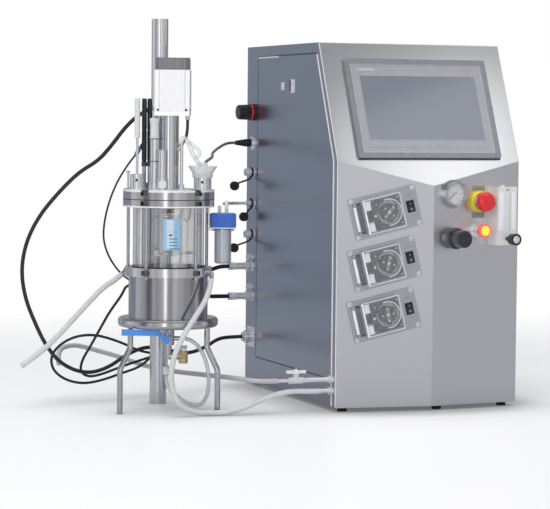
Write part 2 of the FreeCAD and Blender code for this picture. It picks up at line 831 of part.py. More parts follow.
def make_latch():
    """Paddle that lies in the cup and pulls out about its rear edge."""
    paddle = block(0.4, 0.4 + latch_t, latch_y - latch_w / 2, latch_y + latch_w / 2 - 2 * latch_t,
                   latch_z - latch_h / 2, latch_z + latch_h / 2)
    knuckle = rod(latch_t - 0.4, latch_pivot(-latch_h / 2), latch_pivot(latch_h / 2))
    web = block(0.4, 0.4 + latch_t, latch_y + latch_w / 2 - 2 * latch_t, latch_y + latch_w / 2 - latch_t,
                latch_z - latch_h / 2, latch_z + latch_h / 2)
    pin = rod(latch_pin_r, latch_pivot(-latch_h / 2 - sheet + 0.2), latch_pivot(latch_h / 2 + sheet - 0.2))
    add("panel_latch", fused([paddle, knuckle, web, pin]))


def make_rear_cover():
    """Flat rear cover with two columns of vent slots."""
    cover = block(sheet, cabinet_w - sheet, cabinet_d - sheet, cabinet_d, foot_h + sheet, cabinet_h - sheet)
    slots = []
    for row in range(vent_rows):
        low = cabinet_h / 2 + vent_pitch * (row - vent_rows / 2)
        for middle in (cabinet_w * 0.3, cabinet_w * 0.7):
            slots.append(block(middle - vent_w / 2, middle + vent_w / 2, cabinet_d - 2 * sheet, cabinet_d + 1,
                               low, low + vent_h))
    add("rear_cover", cut_all(cover, slots))


def make_inside():
    """Mounting board with a controller and a power supply on it, standing on the floor of the case."""
    middle = half_w
    board = block(middle - board_w / 2, middle + board_w / 2, board_y, board_y + board_t, board_low, board_high)
    foot = block(middle - board_w / 2, middle + board_w / 2, board_y, board_y + 30, foot_h + sheet,
                 foot_h + 2 * sheet)
    leg_low = foot_h + 2 * sheet
    legs = [block(x, x + board_leg_w, board_y, board_y + board_t, leg_low, board_low)
            for x in (middle - board_w / 2, middle + board_w / 2 - board_leg_w)]
    low = board_low + unit_rise
    unit = block(middle - controller[0] / 2, middle + controller[0] / 2, board_y - controller[1], board_y,
                 low, low + controller[2])
    power = block(middle - supply[0] / 2, middle + supply[0] / 2, board_y - supply[1], board_y,
                  low + controller[2] + 30, low + controller[2] + 30 + supply[2])
    add("control_unit", fused([board, foot] + legs + [unit, power]))


# ---------------------------------------------------------------- touch screen
def make_hmi():
    """Bezel with its housing behind the sheet, and the glass in its window."""
    bezel = block(-hmi_w / 2, hmi_w / 2, -hmi_h / 2, hmi_h / 2, 0, hmi_proud)
    upright = [edge for edge in bezel.Edges if abs(edge.tangentAt(edge.FirstParameter).z) > 0.9]
    bezel = bezel.makeFillet(hmi_corner, upright)
    step = block(-hmi_w / 2 + hmi_step, hmi_w / 2 - hmi_step, -hmi_h / 2 + hmi_step, hmi_h / 2 - hmi_step,
                 hmi_proud - hmi_step_depth, hmi_proud + 1)
    seat = hmi_proud - hmi_step_depth - screen_t
    window = block(-screen_w / 2, screen_w / 2, screen_up - screen_h / 2, screen_up + screen_h / 2,
                   seat, hmi_proud + 1)
    housing = block(-hmi_box_w / 2, hmi_box_w / 2, -hmi_box_h / 2, hmi_box_h / 2, -hmi_box_depth, 0)
    glass = block(-screen_w / 2 + run_gap, screen_w / 2 - run_gap, screen_up - screen_h / 2 + run_gap,
                  screen_up + screen_h / 2 - run_gap, seat, seat + screen_t)
    at = SLOPE.multiply(FreeCAD.Placement(Vector(hmi_x, hmi_up, 0), FreeCAD.Rotation()))
    add("hmi_bezel", placed(fused([bezel, housing]).cut(step).cut(window), at))
    add("hmi_screen", placed(glass, at))


# ---------------------------------------------------------------- pumps
def rocker_case(low, high):
    """Outer block of the rocker's case."""
    half_x = rocker_w / 2 + rocker_side_gap + rocker_case_wall
    half_y = rocker_h / 2 + rocker_end_gap + rocker_case_wall
    return block(rocker_x - half_x, rocker_x + half_x, -half_y, half_y, low, high)


def make_pump_base():
    """Plate with corner nuts, roller track, tube clamps, hinge lugs and the rocker's case."""
    plate = block(-plate_w / 2, plate_w / 2, -plate_h / 2, plate_h / 2, 0, plate_t)
    upright = [edge for edge in plate.Edges if abs(edge.tangentAt(edge.FirstParameter).z) > 0.9]
    plate = plate.makeFillet(plate_corner, upright)
    top = plate_t + track_h
    track = block(track_left, track_right, -track_half, track_half, plate_t, top)
    track = track.cut(post(pocket_r, (rotor_x, 0), plate_t + pocket_floor, top + 1))
    pieces = [plate]
    lug_z = plate_t + cover_bar_r + soft_gap
    for side in (-1, 1):
        channel_low = side * tube_channel_y - tube_channel / 2
        track = track.cut(block(track_left - 1, rotor_x, channel_low, channel_low + tube_channel,
                                plate_t + pocket_floor, top + 1))
        clamp_low = side * (track_half - clamp_h / 2) - clamp_h / 2
        pieces.append(block(track_left - clamp_w - 1, track_left - 1, clamp_low, clamp_low + clamp_h, plate_t, top))
        lug_near = side * (cover_bar_half + soft_gap)
        lug_far = side * (cover_bar_half + soft_gap + cover_lug_t)
        pieces.append(block(cover_bar_x - cover_bar_r, cover_bar_x + cover_bar_r, min(lug_near, lug_far),
                            max(lug_near, lug_far), plate_t, lug_z + cover_bar_r))
        for way in (-1, 1):
            pieces.append(post(nut_r, (way * nut_x, side * nut_y), plate_t, plate_t + nut_h))
    pieces.append(track)
    pieces.append(rocker_case(-rocker_case_depth, plate_t + 1))
    body = fused(pieces)
    half_x = rocker_w / 2 + rocker_side_gap
    half_y = rocker_h / 2 + rocker_end_gap
    well = block(rocker_x - half_x, rocker_x + half_x, -half_y, half_y, -rocker_case_depth + rocker_case_wall,
                 plate_t + 2)
    pin_reach = half_x + rocker_case_wall
    trunnion = rod(rocker_pin_r + run_gap, Vector(rocker_x - pin_reach, 0, 0), Vector(rocker_x + pin_reach, 0, 0))
    bore = post(pump_shaft_r + run_gap, (rotor_x, 0), -1, top)
    hinge = rod(cover_pin_r + run_gap, Vector(cover_bar_x, -plate_h / 2, lug_z), Vector(cover_bar_x, plate_h / 2, lug_z))
    return cut_all(body, [well, trunnion, bore, hinge])


def make_pump_cover():
    """Clear cover: a shallow lid with a strip that ends in a round hinge bar and its two pins."""
    lid_low = plate_t + soft_gap
    lid_high = plate_t + cover_h
    lid = block(cover_left, cover_right, -cover_half, cover_half, lid_low, lid_high)
    lid = lid.cut(block(cover_left + cover_wall, cover_right - cover_wall, -cover_half + cover_wall,
                        cover_half - cover_wall, lid_low - 1, lid_high - cover_wall))
    bar_z = plate_t + cover_bar_r + soft_gap
    strip = block(cover_bar_x, cover_left + cover_wall, -cover_bar_half, cover_bar_half, bar_z - 1, bar_z + 1)
    bar = rod(cover_bar_r, Vector(cover_bar_x, -cover_bar_half, bar_z), Vector(cover_bar_x, cover_bar_half, bar_z))
    reach = cover_bar_half + soft_gap + cover_lug_t
    pins = rod(cover_pin_r, Vector(cover_bar_x, -reach, bar_z), Vector(cover_bar_x, reach, bar_z))
    return fused([lid, strip, bar, pins])


def make_pump_rotor():
    """Rotor with three rollers between two discs, on the motor's shaft."""
    floor = plate_t + pocket_floor + soft_gap
    top = plate_t + track_h - rotor_disc_t
    pieces = [post(rotor_disc_r, (rotor_x, 0), floor, floor + rotor_disc_t)]
    for index in range(3):
        at = polar(roller_orbit, 120.0 * index + 30, 0)
        pieces.append(post(roller_r, (rotor_x + at.x, at.y), floor + rotor_disc_t, top))
    pieces.append(post(rotor_disc_r, (rotor_x, 0), top, top + rotor_disc_t))
    pieces.append(post(rotor_hub_r, (rotor_x, 0), floor, top + 2 * rotor_disc_t - soft_gap))
    pieces.append(post(pump_shaft_r, (rotor_x, 0), -pump_shaft_depth, floor))
    return fused(pieces)


def make_pump_motor():
    """Gear motor behind the plate, with the bore that takes the rotor's shaft."""
    body = post(pump_motor_r, (rotor_x, 0), -pump_motor_l, -sheet)
    flange = post(pump_flange_r, (rotor_x, 0), -sheet, 0)
    bore = post(pump_shaft_r + run_gap, (rotor_x, 0), -pump_shaft_depth - soft_gap, 1)
    return fused([body, flange]).cut(bore)


def make_rocker():
    """Rocker paddle with a shallow V on its face, on two small trunnions."""
    half = rocker_h / 2
    face = plate_t + rocker_rise
    outline = [Vector(0, -half, face), Vector(0, 0, face - 1.6), Vector(0, half, face), Vector(0, half, 0),
               Vector(0, 0, -5), Vector(0, -half, 0)]
    paddle = prism(outline, X_AXIS * rocker_w)
    paddle.translate(Vector(rocker_x - rocker_w / 2, 0, 0))
    reach = rocker_w / 2 + rocker_side_gap + rocker_case_wall - soft_gap
    pins = rod(rocker_pin_r, Vector(rocker_x - reach, 0, 0), Vector(rocker_x + reach, 0, 0))
    return fused([paddle, pins])


def make_pumps():
    """Three pumps, one above the other."""
    base = make_pump_base()
    motor = make_pump_motor()
    add("pump_bases", Part.makeCompound([placed(base, pump_frame(index)) for index in range(pump_count)]))
    add("pump_motors", Part.makeCompound([placed(motor, pump_frame(index)) for index in range(pump_count)]))
    for index in range(pump_count):
        label = str(index + 1)
        add("pump_cover_" + label, placed(make_pump_cover(), pump_frame(index)))
        add("pump_rotor_" + label, placed(make_pump_rotor(), pump_frame(index)))
        add("pump_rocker_" + label, placed(make_rocker(), pump_frame(index)))


# ---------------------------------------------------------------- gauge, stop button, lamp, regulator, flow meter
def gauge_case():
    """Round gauge: flange with ears, chrome wall, dial floor with the arbor's boss, and the works behind."""
    pieces = [post(gauge_flange_r, (0, 0), 0, gauge_flange_t), post(gauge_r, (0, 0), 0, gauge_h),
              post(gauge_back_r, (0, 0), -gauge_back_l, 0)]
    for angle in (30, 150, 270):
        at = polar(gauge_flange_r, angle, 0)
        pieces.append(post(4.5, (at.x, at.y), 0, gauge_flange_t))
    body = fused(pieces)
    body = body.cut(post(gauge_r - gauge_rim, (0, 0), gauge_floor, gauge_h + 1))
    return body.cut(post(arbor_r + run_gap, (0, 0), gauge_floor - 6, gauge_floor + 1))


def make_needle():
    """Needle and its arbor, pointing at no pressure."""
    low = gauge_floor + 3
    arbor = post(arbor_r, (0, 0), gauge_floor - 5.5, low + 1)
    hub = post(2.6, (0, 0), low - 0.5, low + 1.4)
    tip = polar(needle_l, needle_zero, low)
    tail = polar(-needle_tail, needle_zero, low)
    side = polar(needle_w / 2, needle_zero + 90, 0)
    outline = [tip, tail * 1.0 + side, tail * 1.0 - side]
    pointer = prism(outline, Vector(0, 0, 0.8))
    return placed(fused([arbor, hub, pointer]), on_right(gauge_x, gauge_z))


def lamp_bezel():
    """Chrome barrel of the lit button."""
    pieces = [post(lamp_base_r, (0, 0), 0, 4), post(lamp_barrel_r, (0, 0), 0, lamp_barrel_h),
              post(lamp_barrel_r, (0, 0), -barrel_l, 0)]
    return fused(pieces).cut(post(lamp_stem_r + run_gap, (0, 0), -10, lamp_barrel_h + 1))


def regulator_collar():
    """Chrome collar of the pressure regulator, with the valve's body behind the sheet."""
    pieces = [turned([(0, 0), (reg_collar_r, 0), (reg_collar_r, reg_collar_h - 2), (reg_collar_r - 2, reg_collar_h),
                      (0, reg_collar_h)]), post(reg_body_r, (0, 0), -reg_body_l, 0)]
    return fused(pieces).cut(post(reg_stem_r + run_gap, (0, 0), -22, reg_collar_h + 1))


def make_controls():
    """Everything on the right half of the prow, each piece in its own frame."""
    flow_at = on_right(flow_x, 0)
    plug = placed(rod(flow_bore_r, Vector(0, flow_high - flow_plug_l, flow_bore_out),
                      Vector(0, flow_high + 3, flow_bore_out)), flow_at)
    add("panel_bezels", Part.makeCompound([
        placed(gauge_case(), on_right(gauge_x, gauge_z)),
        placed(lamp_bezel(), on_right(lamp_x, lamp_z)),
        placed(regulator_collar(), on_right(reg_x, reg_z)),
        plug,
    ]))
    add("gauge_needle", make_needle())

    collar = fused([
        turned([(0, 0), (estop_collar_r, 0), (estop_collar_r, 8), (estop_collar_r - 3, estop_collar_h),
                (0, estop_collar_h)]),
        post(lamp_barrel_r, (0, 0), -barrel_l, 0),
        block(-15, 15, -15, 15, -barrel_l - 30, -barrel_l),
    ])
    collar = collar.cut(post(estop_stem_r + run_gap, (0, 0), -16, estop_collar_h + 1))
    add("estop_collar", placed(collar, on_right(estop_x, estop_z)))
    under = estop_collar_h + estop_travel + 1
    button = fused([
        turned([(0, under), (estop_head_r - 6, under), (estop_head_r, under + 6), (estop_head_r, estop_face - 8),
                (estop_head_r - 2, estop_face - 3), (estop_head_r - 7, estop_face), (0, estop_face)]),
        post(estop_stem_r, (0, 0), -6, under),
    ])
    add("estop_button", placed(button, on_right(estop_x, estop_z)))

    lamp_low = lamp_barrel_h + lamp_travel + soft_gap
    lamp = fused([
        turned([(0, lamp_low), (lamp_head_r, lamp_low), (lamp_head_r, lamp_low + lamp_head_t - 3),
                (lamp_head_r - 2, lamp_low + lamp_head_t), (0, lamp_low + lamp_head_t)]),
        post(lamp_stem_r, (0, 0), -4, lamp_low),
    ])
    add("lamp_button", placed(lamp, on_right(lamp_x, lamp_z)))

    knob_low = reg_collar_h + soft_gap
    knob = turned([(0, knob_low), (reg_knob_r - 1, knob_low), (reg_knob_r, knob_low + 2), (reg_knob_r, knob_low + 14),
                   (reg_knob_front_r, knob_low + 18), (reg_knob_front_r, reg_knob_face - 2),
                   (reg_knob_front_r - 2, reg_knob_face), (0, reg_knob_face)])
    knob = grooved(knob, reg_grooves, reg_knob_front_r + 0.6, reg_knob_front_r + 0.6, reg_groove_r,
                   knob_low + 18, reg_knob_face + 1)
    knob = fused([knob, post(reg_stem_r, (0, 0), -20, knob_low)])
    add("regulator_knob", placed(knob, on_right(reg_x, reg_z)))

    meter = block(-flow_w / 2, flow_w / 2, flow_low, flow_high, 0, flow_d)
    meter = meter.cut(rod(flow_bore_r, Vector(0, flow_bore_low, flow_bore_out), Vector(0, flow_high + 1, flow_bore_out)))
    stem_low = flow_d - flow_stem_in
    meter = meter.cut(post(flow_stem_r + run_gap, (0, flow_knob_z), stem_low - soft_gap, flow_d + 1))
    add("rotameter_block", placed(meter, flow_at))
    bob = turned([(0, 0), (float_r * 0.5, 0), (float_r * 0.5, float_l * 0.4), (float_r, float_l * 0.7),
                  (float_r, float_l), (0, float_l)])
    upright = FreeCAD.Placement(Vector(0, flow_bore_low, flow_bore_out), FreeCAD.Rotation(X_AXIS, -90))
    add("rotameter_float", placed(placed(bob, upright), flow_at))
    knob_low = flow_d + flow_knob_gap
    valve = fused([
        post(flow_knob_r, (0, flow_knob_z), knob_low, knob_low + flow_knob_t),
        post(flow_stem_r, (0, flow_knob_z), stem_low, knob_low),
    ])
    add("rotameter_knob", placed(valve, flow_at))


# ---------------------------------------------------------------- left wall
def wall_socket(radius, length, flange_r, bore_r):
    """Round socket: flange on the wall, barrel outside, tail inside."""
    body = fused([
        post(radius, (0, 0), -socket_tail, length),
        post(flange_r, (0, 0), 0, socket_flange_t),
        post(radius + 1.5, (0, 0), length * 0.45, length * 0.75),
    ])
    return body.cut(post(bore_r, (0, 0), length * 0.3, length + 1))


def wall_plug():
    """Cable plug screwed on its socket, one solid from the wall to the cable."""
    return fused([
        post(socket_r, (0, 0), -socket_tail, plug_ring_l),
        post(socket_flange_r, (0, 0), 0, socket_flange_t),
        post(plug_ring_r, (0, 0), socket_flange_t, plug_ring_l + socket_flange_t),
        post(plug_r, (0, 0), plug_ring_l, plug_l - 6),
        post(plug_r + 1, (0, 0), plug_l - 6, plug_l),
    ])


def stopcock_body():
    """Stopcock on a pipe from the wall, with a hose barb on its far side."""
    start = Vector(sheet + socket_tail, tap_y, tap_z)
    pipe = rod(wall_pipe_r, start, Vector(tap_x, tap_y, tap_z))
    nut = rod(tap_neck_r + 1.5, Vector(0, tap_y, tap_z), Vector(-10, tap_y, tap_z))
    body = rod(tap_r, Vector(tap_x + tap_half, tap_y, tap_z), Vector(tap_x - tap_half, tap_y, tap_z))
    barb = rod(tap_barb_r, Vector(tap_x - tap_half, tap_y, tap_z), Vector(tap_x - tap_half - tap_barb_l, tap_y, tap_z))
    neck = post(tap_neck_r, (tap_x, tap_y), tap_z, tap_z + tap_neck_h)
    whole = fused([pipe, nut, body, barb, neck])
    return whole.cut(post(tap_plug_r + run_gap, (tap_x, tap_y), tap_z - 5, tap_z + tap_neck_h + 1))


def drain_nipple():
    """Lower hose nipple on the wall."""
    pipe = rod(wall_pipe_r, Vector(sheet + socket_tail, tap_y, nipple_z), Vector(-nipple_l, tap_y, nipple_z))
    nut = rod(tap_neck_r + 1.5, Vector(0, tap_y, nipple_z), Vector(-10, tap_y, nipple_z))
    return fused([pipe, nut])


def make_wall_fittings():
    """Sockets, plugs and pipe ends on the left wall."""
    pieces = [
        placed(switch_base(), on_wall(strip_y, switch_z)),
        placed(fused([post(probe_barrel_r, (0, 0), -socket_tail, probe_barrel_l),
                      post(probe_flange_r, (0, 0), 0, socket_flange_t + 1)]), on_wall(strip_y, probe_socket_z)),
        placed(fused([post(outlet_r, (0, 0), -socket_tail, outlet_l), post(socket_flange_r, (0, 0), 0, socket_flange_t)]),
               on_wall(strip_y, hose_outlet_z)),
        placed(power_inlet(), on_wall(strip_y, power_z)),
        stopcock_body(),
        drain_nipple(),
    ]
    for z in (socket_high_z, socket_low_z):
        pieces.append(placed(wall_socket(socket_r, socket_l, socket_flange_r, socket_bore_r), on_wall(strip_y, z)))
    for z in (plug_high_z, plug_low_z):
        pieces.append(placed(wall_plug(), on_wall(strip_y, z)))
        small = wall_socket(small_socket_r, 14, small_socket_r + 2, 3)
        pieces.append(placed(small, on_wall(strip_y, z + small_socket_rise)))
    add("side_fittings", Part.makeCompound(pieces))


def switch_base():
    """Ring that the side switch turns in."""
    base = fused([post(switch_base_r, (0, 0), 0, switch_base_l), post(switch_stem_r + 4, (0, 0), -socket_tail, 0)])
    return base.cut(post(switch_stem_r + run_gap, (0, 0), -socket_tail + 2, switch_base_l + 1))


def power_inlet():
    """Square-flanged round connector with its cable gland."""
    half = power_plate / 2
    inner = half - 5
    return fused([
        block(-half, half, -half, half, 0, power_plate_t),
        block(-inner, inner, -inner, inner, -socket_tail, 0),
        post(power_barrel_r, (0, 0), 0, power_barrel_l - 6),
        post(power_barrel_r - 4, (0, 0), 0, power_barrel_l),
    ])


def make_switch_knob():
    """Black turn switch with a grip bar across its face."""
    low = switch_base_l + soft_gap
    knob = turned([(0, low), (switch_r - 2, low), (switch_r, low + 3), (switch_r - 1, low + switch_l - 3),
                   (switch_r - 3, low + switch_l), (0, low + switch_l)])
    knob = grooved(knob, 12, switch_r + 0.8, switch_r + 0.8, 2.2, low + 4, low + switch_l + 1)
    stem = post(switch_stem_r, (0, 0), -socket_tail + 4, low)
    add("side_switch_knob", placed(fused([knob, stem]), on_wall(strip_y, switch_z)))


def hanging_cap(reach):
    """Rubber cap that hangs by its strap from the socket's neck."""
    ring = post(socket_r + 3, (0, 0), socket_flange_t, socket_flange_t + 3)
    ring = ring.cut(post(socket_r, (0, 0), 0, 10))
    start = Vector(0, -socket_r - 2.2, socket_flange_t + 1.5)
    bend = Vector(0, -socket_r - 8, socket_flange_t + 8)
    end = Vector(0, -cap_drop + cap_r * 0.5, reach - cap_r * 0.5)
    strap = bent_bar([start, bend, end], 8, strap_r)
    disc = rod(cap_r, Vector(-cap_t / 2, -cap_drop, reach), Vector(cap_t / 2, -cap_drop, reach))
    return fused([ring, strap, disc])


def make_caps():
    """Two hanging caps on the idle sockets and one under the hose outlet."""
    outlet_cap = hanging_cap(cap_out * 0.5)
    boot = turned([(0, probe_barrel_l), (boot_r, probe_barrel_l), (boot_r, probe_barrel_l + 10),
                   (boot_end_r, boot_end), (0, boot_end)])
    add("socket_caps", Part.makeCompound([
        placed(boot, on_wall(strip_y, probe_socket_z)),
        placed(hanging_cap(cap_out), on_wall(strip_y, socket_high_z)),
        placed(outlet_cap, on_wall(strip_y, hose_outlet_z)),
        placed(hanging_cap(cap_out), on_wall(strip_y, socket_low_z)),
    ]))


def make_stopcock_handle():
    """White cross handle on the stopcock's plug."""
    low = tap_z + tap_neck_h + soft_gap
    bar = block(tap_x - handle_l / 2, tap_x + handle_l / 2, tap_y - handle_w / 2, tap_y + handle_w / 2, low, low + handle_t)
    cross = block(tap_x - handle_w / 2, tap_x + handle_w / 2, tap_y - handle_w, tap_y + handle_w, low, low + handle_t)
    knob = post(handle_w / 2 - 1, (tap_x, tap_y), low + handle_t, low + handle_t + 3)
    plug = post(tap_plug_r, (tap_x, tap_y), tap_z - 4.5, low)
    add("stopcock_handle", fused([bar, cross, knob, plug]))


# ---------------------------------------------------------------- vessel: stand, jacket, glass, head
def make_stand():
    """Base flange welded to two bent legs and to the clamp that holds the column."""
    flange = turned([(stand_bore_r, stand_low), (stand_r, stand_low), (stand_r, stand_top), (stand_bore_r, stand_top)])
    rims = [edge for edge in flange.Edges
            if edge.Curve.TypeId == "Part::GeomCircle" and edge.Curve.Radius > stand_r - 1]
    flange = flange.makeFillet(stand_round, rims)
    pieces = [flange]
    for angle in leg_angles:
        points = [polar(leg_top_out, angle, stand_low), polar(leg_top_out, angle, leg_bend_high),
                  polar(leg_foot_out, angle, leg_bend_low), polar(leg_foot_out, angle, 0)]
        pieces.append(bent_bar(points, leg_bend_r, leg_r))
    away = math.hypot(*column_at)
    angle = math.degrees(math.atan2(column_at[1], column_at[0]))
    tongue = block(stand_r - 14, away, -column_r, column_r, stand_low + 2, stand_top - 2)
    tongue.rotate(Vector(0, 0, 0), Z_AXIS, angle)
    ring = post(column_r + clamp_wall, column_at, stand_low + 2, stand_top - 2)
    stand = fused(pieces + [tongue, ring]).cut(post(column_r, column_at, 0, column_top))
    add("vessel_stand", placed(stand, VESSEL))


def make_column():
    """Closed stainless tube that stands on the bench behind the vessel."""
    tube = post(column_r, column_at, 0, column_top)
    inside = post(column_r - column_wall, column_at, column_wall, column_top - column_wall)
    add("column", placed(tube.cut(inside), VESSEL))


def right_port_points():
    """Centreline of the elbow that turns a hose down in front of the vessel."""
    corner = polar(right_port_reach, right_port_angle, port_z)
    way = Vector(*right_port_way).normalize()
    return [polar(jacket_r, right_port_angle, port_z), corner, corner + way * right_port_l]


def left_port_points():
    """Centreline of the elbow that turns a hose down at the left."""
    return [polar(jacket_r, left_port_angle, port_z), polar(left_port_reach, left_port_angle, port_z),
            polar(left_port_tip, left_port_angle, port_z - left_port_drop)]


def make_jacket():
    """Double-walled steel lower vessel with its seat ring, drain spout and two hose ports."""
    bore = glass_r - vessel_wall
    outer = turned([(0, stand_top), (jacket_r, stand_top), (jacket_r, jacket_top), (seat_ring_r, jacket_top),
                    (seat_ring_r, seat_ring_top), (0, seat_ring_top)])
    spout = post(drain_r, (0, 0), stand_low, stand_top)
    ports = [bent_bar(right_port_points(), 8, port_r), bent_bar(left_port_points(), 8, port_r)]
    gland = rod(heater_gland_r, polar(jacket_r - 1, heater_angle, heater_z), polar(heater_out, heater_angle, heater_z))
    body = fused([outer, spout, gland] + ports)
    inside = turned([(0, dish_low), (bore - 18, dish_low), (bore, dish_low + 16), (bore, seat_ring_top + 1),
                     (0, seat_ring_top + 1)])
    gap_in = bore + 3
    gap_out = jacket_r - jacket_wall
    gap = turned([(gap_in, stand_top + 12), (gap_out, stand_top + 12), (gap_out, jacket_top - 4),
                  (gap_in, jacket_top - 4)])
    drain = post(drain_bore_r, (0, 0), stand_low - 1, dish_low + 1)
    studs = [post(stud_r, (at.x, at.y), stud_low, seat_ring_top + 1) for at in stud_places()]
    pockets = notches(jacket_top + notch_floor, jacket_top + notch_floor + lug_nut_h)
    add("jacket", placed(cut_all(body, [inside, gap, drain] + studs + pockets), VESSEL))


def stud_places():
    """Plan points of the long studs that clamp the glass."""
    return [polar(stud_orbit, stud_start + 360.0 * index / stud_count, 0) for index in range(stud_count)]


def make_glass():
    """Open glass cylinder between the seat ring and the head ring."""
    tube = post(glass_r, (0, 0), seat_ring_top, head_ring_low)
    tube = tube.cut(post(glass_r - vessel_wall, (0, 0), seat_ring_top - 1, head_ring_low + 1))
    add("glass_cylinder", placed(tube, VESSEL))


def notches(low, high):
    """Places in a rim that take a stud's nut."""
    tools = []
    for index, at in enumerate(stud_places()):
        angle = stud_start + 360.0 * index / stud_count
        half = stud_nut / 2 + nut_clearance
        slot = block(stud_orbit - half, head_r + 5, -half, half, low, high)
        slot.rotate(Vector(0, 0, 0), Z_AXIS, angle)
        tools.append(slot)
    return tools


def make_head_ring():
    """Ring on top of the glass, with notches for the studs' nuts and a welded holder for the bottle."""
    ring = post(head_r, (0, 0), head_ring_low, head_ring_top)
    ring = ring.cut(post(glass_r - vessel_wall, (0, 0), head_ring_low - 1, head_ring_top + 1))
    floor = head_ring_low + notch_floor
    ring = cut_all(ring, notches(floor, floor + lug_nut_h))
    ring = cut_all(ring, [post(stud_r, (at.x, at.y), 0, cabinet_h) for at in stud_places()])
    half = holder_w / 2
    outer = cap_skirt_r + soft_gap
    inner = bottle_at[0] - cap_skirt_r - 2 * soft_gap - holder_t
    drop = block(inner, inner + holder_t, -half, half, holder_z, head_ring_low)
    reach = block(inner, bottle_at[0], -half, half, holder_z, holder_z + holder_t)
    loop = post(bottle_r + 6, bottle_at, holder_z, holder_z + holder_t)
    holder = fused([drop, reach, loop]).cut(post(bottle_r + soft_gap, bottle_at, holder_z - 1, holder_z + outer))
    add("head_ring", placed(fused([ring, holder]), VESSEL))


def make_head_plate():
    """Head plate with a gasket seat, the shaft's seal housing and a hole for each fitting."""
    plate = post(head_r, (0, 0), head_low, head_top)
    plate = cut_all(plate, notches(head_top - 11, head_top + 1))
    seat = post(glass_r + 3, (0, 0), head_ring_top, head_low)
    seat = seat.cut(post(glass_r - vessel_wall, (0, 0), head_ring_top - 1, head_low + 1))
    seal = post(seal_r, (0, 0), seal_low, head_low)
    body = fused([plate, seat, seal])
    tools = [post(stud_r, (at.x, at.y), 0, cabinet_h) for at in stud_places()]
    tools.append(post(shaft_r + run_gap, (0, 0), seal_low - 1, head_top + 1))
    for radius, at in ((dip_r, condenser_at), (dip_r, front_port_at), (dip_r, left_dip_at), (dip_r, right_dip_at),
                       (feed_r, feed_at), (gas_r, gas_at)):
        tools.append(post(radius, at, head_low - 1, head_top + 1))
    for at in sensor_places:
        tools.append(post(sensor_stem_r, at, head_low - 1, head_top + 1))
    add("head_plate", placed(cut_all(body, tools), VESSEL))


def make_studs():
    """Five long studs, each one solid with its nuts."""
    studs = []
    for at in stud_places():
        spot = (at.x, at.y)
        studs.append(fused([
            post(stud_r, spot, stud_low, head_top + 2),
            hexagon(stud_nut, spot, head_top - 11, head_top + 0.6),
            hexagon(stud_nut, spot, head_ring_low + notch_floor, head_ring_low + notch_floor + lug_nut_h),
            hexagon(stud_nut, spot, jacket_top + notch_floor, jacket_top + notch_floor + lug_nut_h),
        ]))
    add("tie_rods", placed(Part.makeCompound(studs), VESSEL))


def make_drive():
    """Motor tube, gear motor and the agitator that hangs from it."""
    tube = post(motor_tube_r, (0, 0), head_top, motor_low)
    half = motor_size / 2
    flange = block(motor_offset - half, motor_offset + half, -half, half, motor_low - motor_flange_t, motor_low)
    under = motor_low - motor_flange_t
    lead_out = post(lead_gland_r, lead_at, under - lead_gland_l, under)
    lead_in = rod(lead_gland_r, Vector(*lead_entry), Vector(*lead_entry) + Vector(*lead_entry_way).normalize() * 14)
    tube = fused([tube, flange, lead_out, lead_in]).cut(post(motor_tube_bore, (0, 0), head_top - 1, motor_low + 1))
    add("motor_tube", placed(tube, VESSEL))
    body = block(motor_offset - half, motor_offset + half, -half, half, motor_low, motor_top)
    ribs = []
    for side in (-1, 1):
        for low in (-1, 1):
            face = side * (half - 0.6)
            ribs.append(block(motor_offset + low * (half - motor_corner) - 0.6, motor_offset + low * (half - motor_corner) + 0.6,
                              face - 0.7, face + 0.7, motor_low - 1, motor_top + 1))
            ribs.append(block(motor_offset + face - 0.7, motor_offset + face + 0.7,
                              low * (half - motor_corner) - 0.6, low * (half - motor_corner) + 0.6, motor_low - 1, motor_top + 1))
    body = cut_all(body, ribs)
    cap_half = motor_cap_size / 2
    cap = block(motor_offset - cap_half, motor_offset + cap_half, -cap_half, cap_half, motor_top, motor_cap_top)
    upright = [edge for edge in cap.Edges if abs(edge.tangentAt(edge.FirstParameter).z) > 0.9]
    cap = cap.makeFillet(motor_corner, upright)
    gland = rod(motor_gland_r, Vector(*motor_gland_from), Vector(*motor_gland_to))
    motor = fused([body, cap, gland]).cut(post(shaft_r + run_gap, (0, 0), motor_low - 1, motor_low + 14))
    add("motor", placed(motor, VESSEL))


def make_agitator():
    """Shaft with its coupling, a foam-breaker disc and two six-blade impellers."""
    pieces = [post(shaft_r, (0, 0), shaft_low, motor_low + 12), post(coupling_r, (0, 0), coupling_low, coupling_top),
              post(breaker_r, (0, 0), breaker_z, breaker_z + breaker_t)]
    for level in impeller_levels:
        pieces.append(post(impeller_disc_r, (0, 0), level, level + impeller_disc_t))
        pieces.append(post(hub_r, (0, 0), level - hub_h / 2, level + hub_h / 2 + impeller_disc_t))
        middle = level + impeller_disc_t / 2
        for index in range(blade_count):
            blade = block(blade_in, blade_in + blade_l, -blade_t / 2, blade_t / 2, middle - blade_h / 2, middle + blade_h / 2)
            blade.rotate(Vector(0, 0, 0), Z_AXIS, 360.0 * index / blade_count)
            pieces.append(blade)
    add("agitator", placed(fused(pieces), VESSEL))


def set_screws(at, radius, z):
    """Two small screw heads on the front of a round port."""
    screws = []
    for angle in (255, 300):
        way = polar(1, angle, 0)
        start = Vector(at[0], at[1], z) + way * (radius - 2)
        screws.append(rod(set_screw_r, start, start + way * 3))
    return screws


